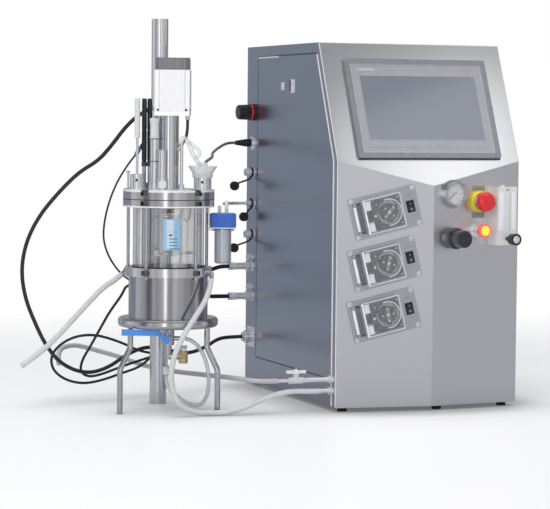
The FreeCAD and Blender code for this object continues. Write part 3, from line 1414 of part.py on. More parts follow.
def probe_nipple_points():
    """Centreline of the bent nipple that lets the probe's cable out of the right-hand port."""
    base = Vector(probe_nipple_at[0], probe_nipple_at[1], 0)
    way = Vector(0, math.cos(probe_nipple_tilt), math.sin(probe_nipple_tilt))
    corner = base + Vector(0, 0, probe_nipple_z)
    return [base + Vector(0, 0, right_port_top - 4), corner, corner + way * probe_nipple_l]


def make_head_fittings():
    """Steel fittings through the head plate: condenser, ports, filter, feed tube, gas tube, sparger and dip tubes."""
    def dip(at, low):
        return post(dip_r, at, low, head_top)

    condenser = fused([
        dip(condenser_at, head_low - 6),
        post(condenser_r + 3, condenser_at, head_top, head_top + 12),
        post(condenser_r, condenser_at, head_top, condenser_top - 10),
        post(condenser_r + 1, condenser_at, condenser_top - 10, condenser_top),
        post(condenser_r + 1, condenser_at, condenser_band, condenser_band + condenser_band_h),
    ])
    front_port = fused([
        dip(front_port_at, dip_low),
        post(front_port_nut_r, front_port_at, head_top, front_port_nut_top),
        post(front_port_r, front_port_at, front_port_nut_top, front_port_top),
    ])
    left_port = fused([
        dip(left_dip_at, head_low - 20),
        post(left_port_r, left_port_at, head_top, left_port_top),
        post(filter_stem_r, left_port_at, left_port_top, filter_low),
        post(filter_r, left_port_at, filter_low, filter_top),
    ] + set_screws(left_port_at, left_port_r, head_top + 20))
    right_port = fused([
        dip(right_dip_at, dip_low),
        post(right_port_r, right_port_at, head_top, right_port_top),
        bent_bar(probe_nipple_points(), 4, probe_nipple_r),
    ] + set_screws(right_port_at, right_port_r, head_top + 18))
    feed = fused([
        post(feed_r, feed_at, head_low, feed_top - 6),
        turned([(0, feed_top - 6), (feed_r, feed_top - 6), (feed_r + 3, feed_top), (0, feed_top)], feed_at),
    ])
    ring = Part.makeTorus(sparger_r, sparger_pipe_r, Vector(0, 0, sparger_z), Z_AXIS)
    drop_angle = math.degrees(math.atan2(gas_at[1], gas_at[0]))
    foot = polar(sparger_r, drop_angle, sparger_z)
    gas = fused([
        post(gas_r, gas_at, head_low, gas_top),
        rod(sparger_pipe_r, Vector(gas_at[0], gas_at[1], head_low), Vector(gas_at[0], gas_at[1], sparger_z)),
        rod(sparger_pipe_r, Vector(gas_at[0], gas_at[1], sparger_z), foot),
        post(gas_r + 2.5, gas_at, head_top, head_top + 10),
        ring,
    ])
    fittings = [condenser, front_port, left_port, right_port, feed, gas]
    add("head_fittings", placed(Part.makeCompound(fittings), VESSEL))


def make_sensors():
    """Two probes with long black heads."""
    probes = []
    for at in sensor_places:
        probes.append(fused([
            post(sensor_stem_r, at, dip_low + 20, sensor_low),
            post(sensor_ring_r, at, sensor_low, sensor_low + 8),
            post(sensor_r, at, sensor_low + 8, sensor_top),
            post(sensor_stem_r + 1.8, at, head_top, head_top + 12),
        ]))
    probes[0] = fused([probes[0], rod(side_plug_r, Vector(*side_plug_from), Vector(*side_plug_to))])
    add("sensors", placed(Part.makeCompound(probes), VESSEL))


def make_port_cover():
    """Clear flared cover that sits over the right-hand port."""
    wall = cover_cup_wall
    profile = [
        (right_port_r, right_port_top), (right_port_r, cover_cup_low), (cover_cup_foot_r, cover_cup_low),
        (cover_cup_foot_r + 1, right_port_top + 4), (cover_cup_r, cover_cup_top), (cover_cup_r - wall, cover_cup_top),
        (cover_cup_foot_r - wall, right_port_top + wall), (0, right_port_top + wall), (0, right_port_top),
    ]
    nipple = probe_nipple_points()
    slot = bent_bar(nipple, 4, probe_nipple_r + soft_gap)
    add("port_cover", placed(turned(profile, right_port_at).cut(slot), VESSEL))


# ---------------------------------------------------------------- drain valve
def make_valve():
    """Ball valve under the vessel, its outlet elbow and the small tee valve on it."""
    front = Vector(0, -valve_stem_out, valve_z)
    body = fused([
        post(drain_r, (0, 0), valve_z, stand_low),
        post(valve_r, (0, 0), valve_z - valve_half, valve_z + valve_half),
        rod(valve_bonnet_r, Vector(0, 0, valve_z), Vector(0, -valve_r - 14, valve_z)),
        rod(valve_stem_r + 2, Vector(0, 0, valve_z), Vector(0, -valve_stem_out + 8, valve_z)),
        post(drain_r - 3, (0, 0), elbow_low, valve_z),
        rod(drain_r - 4, Vector(0, 0, elbow_low + 6), Vector(side_tee_out, 0, elbow_low + 6)),
        post(side_tee_r, (side_tee_out, 0), elbow_low - 8, elbow_low - 8 + side_tee_h),
        post(side_tee_r - 3, (side_tee_out, 0), elbow_low - 8 + side_tee_h, side_stem_top),
        rod(drain_nipple_r, Vector(0, 0, drain_nipple_z), Vector(drain_nipple_out, 0, drain_nipple_z)),
    ])
    bore = rod(valve_stem_r + run_gap, Vector(0, -valve_r - 4, valve_z), front)
    drip = fused([post(drip_r, drip_at, drip_nut_top, stand_low), post(drip_nut_r, drip_at, drip_nut_low, drip_nut_top)])
    add("ball_valve", placed(Part.makeCompound([body.cut(bore), drip]), VESSEL))


def make_lever():
    """Sleeved lever of the drain valve, across the flow while it is shut."""
    y0 = -valve_stem_out - lever_t / 2 + 2
    y1 = y0 + lever_t
    hub = rod(lever_w / 2 + 2, Vector(0, y0, valve_z), Vector(0, y1, valve_z))
    rise = Vector(-18, 0, valve_z + lever_rise)
    near = lever_w / 2
    crank = prism([Vector(0, y0, valve_z - near), Vector(-18, y0, valve_z + lever_rise - near),
                   Vector(-18, y0, valve_z + lever_rise + near), Vector(0, y0, valve_z + near)], Vector(0, lever_t, 0))
    grip = block(-lever_l, -18, y0, y1, rise.z - near, rise.z + near)
    stem = rod(valve_stem_r, Vector(0, -valve_r - 4.5, valve_z), Vector(0, y0 + 1, valve_z))
    add("ball_valve_lever", placed(fused([hub, crank, grip, stem]), VESSEL))


# ---------------------------------------------------------------- bottle
def make_bottle():
    """Small clear bottle that hangs in its holder, and its ribbed cap with two hose tubes."""
    neck_low = bottle_shoulder
    bottle = turned([
        (0, bottle_low), (bottle_r - 3, bottle_low), (bottle_r, bottle_low + 3), (bottle_r, neck_low),
        (bottle_r - bottle_wall, neck_low), (bottle_r - bottle_wall, bottle_low + 4),
        (bottle_r - bottle_wall - 2, bottle_low + bottle_wall), (0, bottle_low + bottle_wall),
    ], bottle_at)
    rim = turned([(bottle_r - bottle_wall, neck_low), (bottle_r + 4, neck_low), (bottle_r + 4, cap_skirt_top - 6),
                  (bottle_r - bottle_wall, cap_skirt_top - 6)], bottle_at)
    add("bottle", placed(fused([bottle, rim]), VESSEL))
    inner = bottle_r + 4
    cap = turned([(inner, bottle_shoulder), (cap_skirt_r - 1, bottle_shoulder), (cap_skirt_r, bottle_shoulder + 2),
                  (cap_skirt_r, cap_skirt_top - 2), (cap_skirt_r - 2, cap_skirt_top), (0, cap_skirt_top),
                  (0, cap_skirt_top - 6), (inner, cap_skirt_top - 6)], bottle_at)
    ribs = []
    for index in range(cap_ribs):
        at = polar(cap_skirt_r + 0.2, 360.0 * index / cap_ribs, 0)
        ribs.append(post(cap_rib_r, (bottle_at[0] + at.x, bottle_at[1] + at.y), bottle_shoulder - 1, cap_skirt_top + 1))
    cap = cap.cut(Part.makeCompound(ribs))
    stub = post(cap_tube_r, (bottle_at[0] - cap_tube_offset, bottle_at[1]), cap_skirt_top - 3, cap_tube_top)
    out = bottle_at[0] + cap_tube_offset
    elbow = bent_bar([Vector(out, 0, cap_skirt_top - 3), Vector(out, 0, cap_elbow_z),
                      Vector(out, cap_elbow_l, cap_elbow_z)], 6, cap_tube_r)
    add("bottle_cap", placed(fused([cap, stub, elbow]), VESSEL))


# ---------------------------------------------------------------- cables and hoses


def make_cord(name, diameter, route):
    """One cable or hose: a tube along straight runs, joined by the largest arcs that the runs allow."""
    points = [Vector(*at) for at in route]
    points[0] += (points[1] - points[0]).normalize() * cord_end_gap
    points[-1] += (points[-2] - points[-1]).normalize() * cord_end_gap
    radii = []
    for before, corner, after in zip(points, points[1:], points[2:]):
        half_turn = (math.pi - (before - corner).getAngle(after - corner)) / 2
        radii.append(0.45 * min((before - corner).Length, (after - corner).Length) / math.tan(half_turn))
    path = bent_path(points, radii)
    ring = Part.Wire(Part.makeCircle(diameter / 2, points[0], (points[1] - points[0]).normalize()))
    tube = path.makePipeShell([ring], True, True)
    add(name, tube)
    section = math.pi * (diameter / 2) ** 2
    print(name, "length %.0f" % path.Length, "volume ratio %.4f" % (tube.Volume / (section * path.Length)),
          "tightest %.1f diameters" % (min(radii) / diameter))
    print("  radii", " ".join("%.0f" % r for r in radii))


# ---------------------------------------------------------------- build
make_shell()
make_feet()
make_front()
make_side_panel()
make_latch()
make_rear_cover()
make_inside()
make_hmi()
make_pumps()
make_controls()
make_wall_fittings()
make_switch_knob()
make_caps()
make_stopcock_handle()
make_stand()
make_column()
make_jacket()
make_glass()
make_head_ring()
make_head_plate()
make_studs()
make_drive()
make_agitator()
make_head_fittings()
make_sensors()
make_port_cover()
make_valve()
make_lever()
make_bottle()
for cord, (thickness, corners) in cord_routes.items():
    make_cord(cord, thickness, corners)

os.makedirs("parts", exist_ok=True)
for name, shape in nodes.items():
    moved = shape.copy()
    moved.translate(-FOOT)
    moved.exportStep("parts/" + name + ".step")
print(len(nodes), "nodes")
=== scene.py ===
"""Dresses the bench bioreactor: its steel cabinet, the jacketed glass vessel beside it, and their cables and hoses."""

import logging
import math
from dataclasses import dataclass
from enum import Enum
from functools import cache
from typing import Iterable, Sequence

import bmesh
import bpy
from mathutils import Matrix, Vector


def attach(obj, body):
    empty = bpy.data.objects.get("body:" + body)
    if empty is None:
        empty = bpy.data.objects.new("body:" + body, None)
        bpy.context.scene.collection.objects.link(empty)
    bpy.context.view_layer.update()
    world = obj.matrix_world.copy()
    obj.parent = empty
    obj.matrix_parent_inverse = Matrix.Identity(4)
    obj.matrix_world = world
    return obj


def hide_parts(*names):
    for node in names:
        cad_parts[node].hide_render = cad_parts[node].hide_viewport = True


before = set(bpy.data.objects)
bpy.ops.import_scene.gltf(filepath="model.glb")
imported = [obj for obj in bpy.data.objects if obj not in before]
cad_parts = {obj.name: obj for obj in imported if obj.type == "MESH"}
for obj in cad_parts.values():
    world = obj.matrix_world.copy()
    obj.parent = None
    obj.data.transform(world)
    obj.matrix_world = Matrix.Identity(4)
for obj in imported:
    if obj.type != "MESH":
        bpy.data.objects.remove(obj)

LOG = logging.getLogger("bioreactor")
MM = 0.001
FOOT = Vector((22.0, 22.0, 0.0))  # the front left foot, from the cabinet's corner
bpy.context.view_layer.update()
WORLD = Matrix.Identity(4)
WHITE, BLACK = (1.0, 1.0, 1.0), (0.0, 0.0, 0.0)
Pair = tuple[float, float]
Point = tuple[float, float, float]
Colour = tuple[float, float, float]
Socket = bpy.types.NodeSocket


# ---------------------------------------------------------------- seats
MIDDLE = 200.0  # half the cabinet's width
PROW = 22.5  # how far the front's point stands out
STRETCH = 1.00631  # length along half the front over the width it covers
FOLD = 505.7  # height at which the slope starts
SLOPE_BACK, SLOPE_HIGH = 109.0, 239.3
RIGHT_WAY, RIGHT_OUT = Vector((MIDDLE, PROW, 0.0)).normalized(), Vector((PROW, -MIDDLE, 0.0)).normalized()
LEFT_OUT = Vector((-PROW, -MIDDLE, 0.0)).normalized()
SLOPE_RISE = Vector((0.0, SLOPE_BACK, SLOPE_HIGH)).normalized()
SLOPE_OUT = Vector((0.0, -SLOPE_HIGH, SLOPE_BACK)).normalized()
PUMP_ORIGIN, PUMP_PITCH = Vector((0.0757, -0.032991, 0.4028)), Vector((0.0, 0.0, 0.1032))
PUMP_WAY = Vector((0.966274, -0.108706, 0.233445))
VESSEL_AXIS, VESSEL_TURN = Vector((-0.335, 0.109, 0.0)), -math.radians(20.5)


def placed(points: Iterable[Point]) -> list[Point]:
    """Points counted from the cabinet's front left corner, moved into the row frame, in millimetres."""
    return [tuple(Vector(point) - FOOT) for point in points]


def seat(origin: Vector, x_way: Vector, out_way: Vector) -> Matrix:
    """A local frame on one of the machine's faces.

    Args:
        origin: its place, in metres.
        x_way: the way its X points.
        out_way: the way its Z points, away from the face.

    Returns:
        The frame as a matrix.
    """
    x_axis, z_axis = x_way.normalized(), out_way.normalized()
    turn = Matrix((x_axis, z_axis.cross(x_axis), z_axis)).transposed()
    return Matrix.Translation(origin) @ turn.to_4x4()


def on_right(x: float, z: float) -> Matrix:
    """A frame on the right half of the front, X along it and Z outward."""
    flat = Vector((MIDDLE, -PROW, z)) + RIGHT_WAY * ((x - MIDDLE) * STRETCH)
    return seat((flat - FOOT) * MM, RIGHT_WAY, RIGHT_OUT)


def on_slope(x: float, up: float) -> Matrix:
    """A frame on the sloping face, x along it and up from the fold."""
    return seat((Vector((x, 0.0, FOLD)) + SLOPE_RISE * up - FOOT) * MM, Vector((1.0, 0.0, 0.0)), SLOPE_OUT)


def on_pump(index: int) -> Matrix:
    """The frame of one pump plate, X along its long side and Z outward."""
    return seat(PUMP_ORIGIN - PUMP_PITCH * index, PUMP_WAY, LEFT_OUT)


def on_wall(y: float, z: float) -> Matrix:
    """A frame on the left wall, Z pointing out of it."""
    return seat((Vector((0.0, y, z)) - FOOT) * MM, Vector((0.0, -1.0, 0.0)), Vector((-1.0, 0.0, 0.0)))


def on_vessel(x: float = 0.0, y: float = 0.0, z: float = 0.0) -> Matrix:
    """The vessel's own frame, upright on its axis and turned with its stand, in millimetres."""
    turn = Matrix.Rotation(VESSEL_TURN, 4, "Z")
    return Matrix.Translation(VESSEL_AXIS) @ turn @ Matrix.Translation(Vector((x, y, z)) * MM)


# ---------------------------------------------------------------- node wiring
class Wiring:
    """Adds and links the nodes of one material or group."""

    def __init__(self, tree: bpy.types.NodeTree) -> None:
        """Starts an empty tree."""
        self.tree = tree
        tree.nodes.clear()

    def add(self, kind: str, **settings: object) -> bpy.types.Node:
        """Adds a node and sets its properties.

        Args:
            kind: the node's kind.
            settings: its properties, by name.

        Returns:
            The node.
        """
        node = self.tree.nodes.new(kind)
        for name, value in settings.items():
            setattr(node, name, value)
        return node

    def feed(self, socket: Socket, source: object) -> None:
        """Links a socket to another, or sets its value.

        Args:
            socket: the socket.
            source: another socket or a value, and a plain colour gets its alpha.
        """
        if isinstance(source, Socket):
            self.tree.links.new(source, socket)
        else:
            socket.default_value = (*source, 1.0) if socket.type == "RGBA" else source

    def fill(self, node: bpy.types.Node, **values: object) -> bpy.types.Node:
        """Feeds a node's inputs by name.

        Args:
            node: the node.
            values: what each input gets, with underscores for the blanks in its name.

        Returns:
            The node.
        """
        for name, value in values.items():
            self.feed(node.inputs[name.replace("_", " ")], value)
        return node

    def math(self, operation: str, *values: object, clamp: bool = False) -> Socket:
        """Adds a Math node.

        Args:
            operation: what it does.
            values: what its inputs get.
            clamp: keeps the answer from 0 to 1.

        Returns:
            Its output.
        """
        node = self.add("ShaderNodeMath", operation=operation, use_clamp=clamp)
        for socket, value in zip(node.inputs, values):
            self.feed(socket, value)
        return node.outputs[0]

    def vector(self, operation: str, *values: object) -> Socket:
        """Adds a Vector Math node.

        Args:
            operation: what it does.
            values: what its inputs get.

        Returns:
            Its output.
        """
        node = self.add("ShaderNodeVectorMath", operation=operation)
        for socket, value in zip(node.inputs, values):
            self.feed(socket, value)
        return node.outputs["Value" if operation in ("LENGTH", "DOT_PRODUCT") else "Vector"]

    def parts(self, vector: Socket) -> bpy.types.bpy_prop_collection:
        """The three numbers of a vector, as sockets."""
        return self.fill(self.add("ShaderNodeSeparateXYZ"), Vector=vector).outputs

    def blend(self, factor: object, first: object, second: object) -> Socket:
        """Mixes two colours.

        Args:
            factor: how much there is of the second.
            first: the colour at 0.
            second: the colour at 1.

        Returns:
            The mixed colour.
        """
        node = self.add("ShaderNodeMix", data_type="RGBA")
        for index, value in ((0, factor), (6, first), (7, second)):
            self.feed(node.inputs[index], value)
        return node.outputs[2]

    def spread(self, value: object, low: float, high: float, to_low: object = 0.0, to_high: float = 1.0,
               smooth: bool = False) -> Socket:
        """Maps a number from one range to another.

        Args:
            value: the number.
            low: where its range starts.
            high: where its range ends.
            to_low: what the start becomes.
            to_high: what the end becomes.
            smooth: eases in and out.

        Returns:
            The mapped number.
        """
        node = self.add("ShaderNodeMapRange", interpolation_type="SMOOTHSTEP" if smooth else "LINEAR")
        for index, item in enumerate((value, low, high, to_low, to_high)):
            self.feed(node.inputs[index], item)
        return node.outputs[0]

    def noise(self, vector: object, scale: object, detail: float = 3.0, rough: float = 0.55) -> Socket:
        """A noise value from 0 to 1, as a socket."""
        node = self.add("ShaderNodeTexNoise")
        return self.fill(node, Vector=vector, Scale=scale, Detail=detail, Roughness=rough).outputs[0]

    def place(self) -> Socket:
        """The surface point in the object's own frame."""
        return self.add("ShaderNodeTexCoord").outputs["Object"]

    def group(self, tree: bpy.types.NodeTree, **values: object) -> bpy.types.bpy_prop_collection:
        """The outputs of a shared effect whose inputs are fed by name."""
        return self.fill(self.add("ShaderNodeGroup", node_tree=tree), **values).outputs


def open_group(name: str, inputs: dict[str, object], *outputs: str) -> tuple[Wiring, dict[str, Socket], bpy.types.Node]:
    """Opens a node group with its sockets.

    Args:
        name: the group's name.
        inputs: each input's start value, a number or a vector.
        outputs: the outputs' names, numbers all but the one called Normal.

    Returns:
        The wiring, the inner sockets of the inputs by name, and the output node.
    """
    tree = bpy.data.node_groups.new(name, "ShaderNodeTree")
    for label, value in inputs.items():
        kind = "NodeSocketFloat" if isinstance(value, float) else "NodeSocketVector"
        tree.interface.new_socket(name=label, in_out="INPUT", socket_type=kind).default_value = value
    for label in outputs:
        kind = "NodeSocketVector" if label == "Normal" else "NodeSocketFloat"
        tree.interface.new_socket(name=label, in_out="OUTPUT", socket_type=kind)
    wiring = Wiring(tree)
    entry, leave = wiring.add("NodeGroupInput"), wiring.add("NodeGroupOutput")
    return wiring, {socket.name: socket for socket in entry.outputs if socket.name}, leave


def open_material(name: str) -> tuple[bpy.types.Material, Wiring, bpy.types.Node]:
    """Opens a new material.

    Args:
        name: the material's name.

    Returns:
        The material, its wiring and its shader.
    """
    material = bpy.data.materials.new(name)
    material.use_nodes = True
    wiring = Wiring(material.node_tree)
    shader = wiring.add("ShaderNodeBsdfPrincipled")
    wiring.fill(wiring.add("ShaderNodeOutputMaterial"), Surface=shader.outputs[0])
    return material, wiring, shader


# ---------------------------------------------------------------- shared effects
@cache
def brushed_grain() -> bpy.types.NodeTree:
    """Fine brushed lines. Lines is how often they come along each axis.

    Returns:
        The node group.
    """
    wiring, given, leave = open_group("Brushed_Grain", {"Vector": BLACK, "Lines": (40.0, 40.0, 2400.0)}, "Tone")
    lines = wiring.noise(wiring.vector("MULTIPLY", given["Vector"], given["Lines"]), 1.0, 4.0, 0.6)
    wiring.fill(leave, Tone=wiring.spread(lines, 0.3, 0.7, -1.0, 1.0))
    return wiring.tree


@cache
def handling_marks() -> bpy.types.NodeTree:
    """Soft cloudy marks from hands and cloths, for roughness and a little colour.

    Returns:
        The node group.
    """
    wiring, given, leave = open_group("Handling_Marks", {"Vector": BLACK, "Scale": 9.0, "Amount": 0.1}, "Change")
    cloud = wiring.noise(given["Vector"], given["Scale"], 5.0, 0.6)
    fine = wiring.noise(given["Vector"], wiring.math("MULTIPLY", given["Scale"], 7.0), 2.0)
    both = wiring.math("ADD", wiring.math("MULTIPLY", cloud, 0.7), wiring.math("MULTIPLY", fine, 0.3))
    wiring.fill(leave, Change=wiring.math("MULTIPLY", wiring.spread(both, 0.3, 0.7, -1.0, 1.0), given["Amount"]))
    return wiring.tree


@cache
def broken_edge() -> bpy.types.NodeTree:
    """Broken edges: a rounded normal, and a mask that is 1 on the edge.

    Returns:
        The node group.
    """
    wiring, given, leave = open_group("Broken_Edge", {"Radius": 0.0008}, "Mask", "Normal")
    bevel = wiring.fill(wiring.add("ShaderNodeBevel", samples=4), Radius=given["Radius"]).outputs[0]
    flat = wiring.add("ShaderNodeNewGeometry").outputs["True Normal"]
    mask = wiring.spread(wiring.vector("DOT_PRODUCT", bevel, flat), 0.995, 0.85)
    wiring.fill(leave, Mask=mask, Normal=bevel)
    return wiring.tree


@cache
def box_region() -> bpy.types.NodeTree:
    """A mask that is 1 inside an upright box.

    Returns:
        The node group.
    """
    wiring, given, leave = open_group("Box_Region", {"Vector": BLACK, "Low": BLACK, "High": WHITE}, "Mask")
    parts = wiring.parts(wiring.vector("MINIMUM", wiring.vector("SUBTRACT", given["Vector"], given["Low"]),
                                       wiring.vector("SUBTRACT", given["High"], given["Vector"])))
    least = wiring.math("MINIMUM", wiring.math("MINIMUM", parts[0], parts[1]), parts[2])
    wiring.fill(leave, Mask=wiring.math("GREATER_THAN", least, 0.0))
    return wiring.tree


# ---------------------------------------------------------------- finishes
RELIEF = 0.0002  # how high a bump of full strength is, in metres
FAR = 9.0  # beyond the machine's sides, in metres
STRIPE = 0.12  # how far the lightest and darkest brushed lines are from a metal's own colour
RUBBED_METAL = (0.96, 0.97, 0.98)


class Brush(Enum):
    """Which way the brushed lines of a metal run, as how often they come along X, Y and Z in a metre."""

    UPRIGHT = (2600.0, 2600.0, 22.0)
    LEVEL = (22.0, 22.0, 2600.0)
    TURNED = (60.0, 60.0, 3200.0)
    CAST = (900.0, 900.0, 900.0)


@dataclass(frozen=True)
class Patch:
    """A level band of a piece that has another colour.

    Attributes:
        z: its lowest and highest place, in metres.
        colour: the colour there.
        metallic: how metallic it is there.
        roughness: how rough it is there.
        x: the places it lies between from left to right.
    """

    z: Pair
    colour: Colour
    metallic: float
    roughness: float
    x: Pair = (-FAR, FAR)


def surface(wiring: Wiring, shader: bpy.types.Node, finish: "Metal | Moulding", place: Socket, marks: Socket,
            colour: Socket, rubbed: Colour, wear: float, radius: float, metallic: float, height: Socket,
            depth: float) -> Socket:
    """Adds what metals and mouldings share: worn edges, handling marks, patches and relief.

    Args:
        wiring: the material's wiring.
        shader: its shader.
        finish: the finish it is made for.
        place: the surface point.
        marks: the change that handling makes.
        colour: its colour so far.
        rubbed: the colour of its worn edges.
        wear: how far the edges take that colour.
        radius: how wide they are.
        metallic: how metallic it is.
        height: the relief.
        depth: how strong the relief is.

    Returns:
        The colour with all that was added.
    """
    mask, normal = wiring.group(broken_edge(), Radius=radius)
    colour = wiring.blend(wiring.math("MULTIPLY", mask, wear), colour, rubbed)
    rough = wiring.math("ADD", marks, finish.roughness, clamp=True)
    for patch in finish.patches:
        inside = wiring.group(box_region(), Vector=place, Low=(patch.x[0], -FAR, patch.z[0]),
                              High=(patch.x[1], FAR, patch.z[1]))[0]
        colour = wiring.blend(inside, colour, patch.colour)
        rough = wiring.spread(inside, 0.0, 1.0, rough, patch.roughness)
        metallic = wiring.spread(inside, 0.0, 1.0, metallic, patch.metallic)
    bump = wiring.fill(wiring.add("ShaderNodeBump"), Distance=RELIEF, Strength=depth, Height=height, Normal=normal)
    wiring.fill(shader, Base_Color=colour, Roughness=rough, Metallic=metallic, Normal=bump.outputs[0])
    return colour


@dataclass(frozen=True)
class Metal:
    """A bare, brushed or polished metal.

    Attributes:
        name: the material's name.
        colour: its colour.
        roughness: how rough it is.
        brush: the way its lines run.
        depth: how deep the lines are.
        contrast: how much the lines change the colour.
        metallic: how metallic it is, lower for plated and satin parts.
        marks: how much handling changes the roughness.
        edge_radius: how wide its broken edges are.
        patches: bands of another finish.
        upward_painted_light: painted light, a second and lighter colour that it takes on upwards, with the two heights,
            so the top reads as more brightly lit.
        slot: the record's slot for pieces of it; not used.
    """

    name: str
    colour: Colour
    roughness: float
    brush: Brush
    depth: float
    contrast: float
    metallic: float = 1.0
    marks: float = 0.05
    edge_radius: float = 0.0008
    patches: tuple[Patch, ...] = ()
    upward_painted_light: tuple[Colour, float, float] | None = None
    slot: str = "polished_steel"

    def build(self) -> bpy.types.Material:
        """Makes the material.

        Returns:
            The material.
        """
        material, wiring, shader = open_material(self.name)
        place = wiring.place()
        grain = wiring.group(brushed_grain(), Vector=place, Lines=self.brush.value)[0]
        marks = wiring.group(handling_marks(), Vector=place, Scale=11.0, Amount=self.marks)[0]
        colour: object = self.colour
        # painted light: the colour turns lighter upwards
        if self.upward_painted_light:
            other, start, end = self.upward_painted_light
            colour = wiring.blend(wiring.spread(wiring.parts(place)[2], start, end, smooth=True), colour, other)
        tone = wiring.math("ADD", wiring.math("MULTIPLY", grain, self.contrast), 1.0)
        colour = wiring.blend(wiring.spread(tone, 0.9, 1.1), wiring.blend(STRIPE, colour, BLACK),
                              wiring.blend(STRIPE, colour, WHITE))
        surface(wiring, shader, self, place, marks, colour, RUBBED_METAL, 0.45, self.edge_radius,
                self.metallic, grain, self.depth)
        return material


@dataclass(frozen=True)
class Moulding:
    """A moulded plastic or rubber.

    Attributes:
        name: the material's name.
        colour: its colour.
        roughness: how rough it is.
        texture: how deep the moulded texture is.
        coat: a gloss coat, from 0 to 1.
        slot: the record's slot for pieces of it; not used.
        grain: how fine the texture is.
        glow: light of its own, for a lamp.
        marks: how much handling changes the roughness.
        patches: bands of another colour.
    """

    name: str
    colour: Colour
    roughness: float
    texture: float
    coat: float = 0.0
    slot: str = "black_plastic"
    grain: float = 1400.0
    glow: float = 0.0
    marks: float = 0.06
    patches: tuple[Patch, ...] = ()

    def build(self) -> bpy.types.Material:
        """Makes the material.

        Returns:
            The material.
        """
        material, wiring, shader = open_material(self.name)
        place = wiring.place()
        marks = wiring.group(handling_marks(), Vector=place, Scale=45.0, Amount=self.marks)[0]
        fresh, worn, rubbed = (tuple(min(1.0, part * gain + lift) for part in self.colour)
                               for gain, lift in ((0.94, 0.0), (1.10, 0.003), (1.25, 0.03)))
        colour = wiring.blend(wiring.spread(marks, -0.06, 0.06), fresh, worn)
        colour = surface(wiring, shader, self, place, marks, colour, rubbed, 0.5, 0.0006, 0.0,
                         wiring.noise(place, self.grain, 2.0), self.texture)
        wiring.fill(shader, Coat_Weight=self.coat, Coat_Roughness=0.12)
        if self.glow:
            wiring.fill(shader, Emission_Color=colour, Emission_Strength=self.glow)
        return material


@dataclass(frozen=True)
class Clear:
    """A clear glass or plastic, seen through but with bright rims.

    Attributes:
        name: the material's name.
        tint: the colour of what is seen of it face on.
        body: how much of it is seen face on, from 0 to 1.
        rim: how much of it is seen edge on.
        rim_colour: its colour edge on.
        roughness: how rough it is.
        cloud: how much wiping marks add to the body.
        power: how fast it gathers towards the rim.
        mirror: how strongly its body mirrors, as metal does, from 0 to 1.
        bands: how much painted reflections, upright light and dark stripes in its colour and clearness, change what is
            seen of it.
        slot: the record's slot for pieces of it; not used.
    """

    name: str
    tint: Colour
    body: float
    rim: float
    rim_colour: Colour
    roughness: float = 0.04
    cloud: float = 0.02
    power: float = 2.4
    mirror: float = 0.0
    bands: float = 0.0
    slot: str = "clear_plastic"

    def build(self) -> bpy.types.Material:
        """Makes the material.

        Returns:
            The material.
        """
        material, wiring, shader = open_material(self.name)
        place = wiring.place()
        marks = wiring.group(handling_marks(), Vector=place, Scale=24.0, Amount=self.cloud)[0]
        facing = wiring.fill(wiring.add("ShaderNodeLayerWeight"), Blend=0.5).outputs["Facing"]
        side = wiring.math("POWER", facing, self.power)
        amount = wiring.math("ADD", wiring.spread(side, 0.0, 1.0, self.body, self.rim), marks, clamp=True)
        tint: object = self.tint
        # painted reflections: upright light and dark stripes blended into the colour and opacity
        if self.bands:
            stretched = wiring.vector("MULTIPLY", place, (120.0, 120.0, 0.9))
            painted_reflection_streaks = wiring.spread(wiring.noise(stretched, 1.0, 3.0, 0.6), 0.38, 0.62)
            tint = wiring.blend(painted_reflection_streaks, tuple(part * 0.50 for part in self.tint), WHITE)
            amount = wiring.math("ADD", amount, wiring.spread(painted_reflection_streaks, 0.0, 1.0, -self.bands, self.bands), clamp=True)
        rough = wiring.math("ADD", wiring.math("ABSOLUTE", marks), self.roughness)
        wiring.fill(shader, Alpha=amount, Base_Color=wiring.blend(side, tint, self.rim_colour), Roughness=rough,
                    Metallic=self.mirror, IOR=1.5, Specular_IOR_Level=0.9, Coat_Weight=0.6, Coat_Roughness=0.02)
        return material


@cache
def made(finish: Metal | Moulding | Clear) -> bpy.types.Material:
    """The material of a finish, built the first time it is asked for."""
    return finish.build()


def dress(**finishes: Metal | Moulding | Clear) -> None:
    """Gives solids of the source their finishes.

    Args:
        finishes: each solid's finish, by the solid's name.
    """
    for node, finish in finishes.items():
        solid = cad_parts[node]
        if not solid.material_slots:
            solid.data.materials.append(made(finish))
        for place in solid.material_slots:
            place.material = made(finish)


# ---------------------------------------------------------------- mesh work
def put(name: str, data: bpy.types.ID) -> bpy.types.Object:
    """Links a new object into the scene.

    Args:
        name: its name.
        data: its mesh, curve, camera or lamp.

    Returns:
        The object.
    """
    thing = bpy.data.objects.new(name, data)
    bpy.context.scene.collection.objects.link(thing)
    return thing


def rounded(x: Pair, y: Pair, radius: float, steps: int = 5) -> list[Pair]:
    """A rectangle's outline with rounded corners.

    Args:
        x: its left and right.
        y: its bottom and top.
        radius: its corners' radius.
        steps: how many parts each corner has.

    Returns:
        The outline's points.
    """
    (left, right), (low, high) = x, y
    points = []
    for across, up, start in ((right - radius, low + radius, -90), (right - radius, high - radius, 0),
                              (left + radius, high - radius, 90), (left + radius, low + radius, 180)):
        for step in range(steps + 1):
            angle = math.radians(start + 90.0 * step / steps)
            points.append((across + radius * math.cos(angle), up + radius * math.sin(angle)))
    return points


def oval(across: float, up: float, half_wide: float, half_high: float) -> list[Pair]:
    """The twelve-sided section of a bead."""
    angles = [math.tau * step / 12 for step in range(12)]
    return [(across + half_wide * math.cos(angle), up + half_high * math.sin(angle)) for angle in angles]


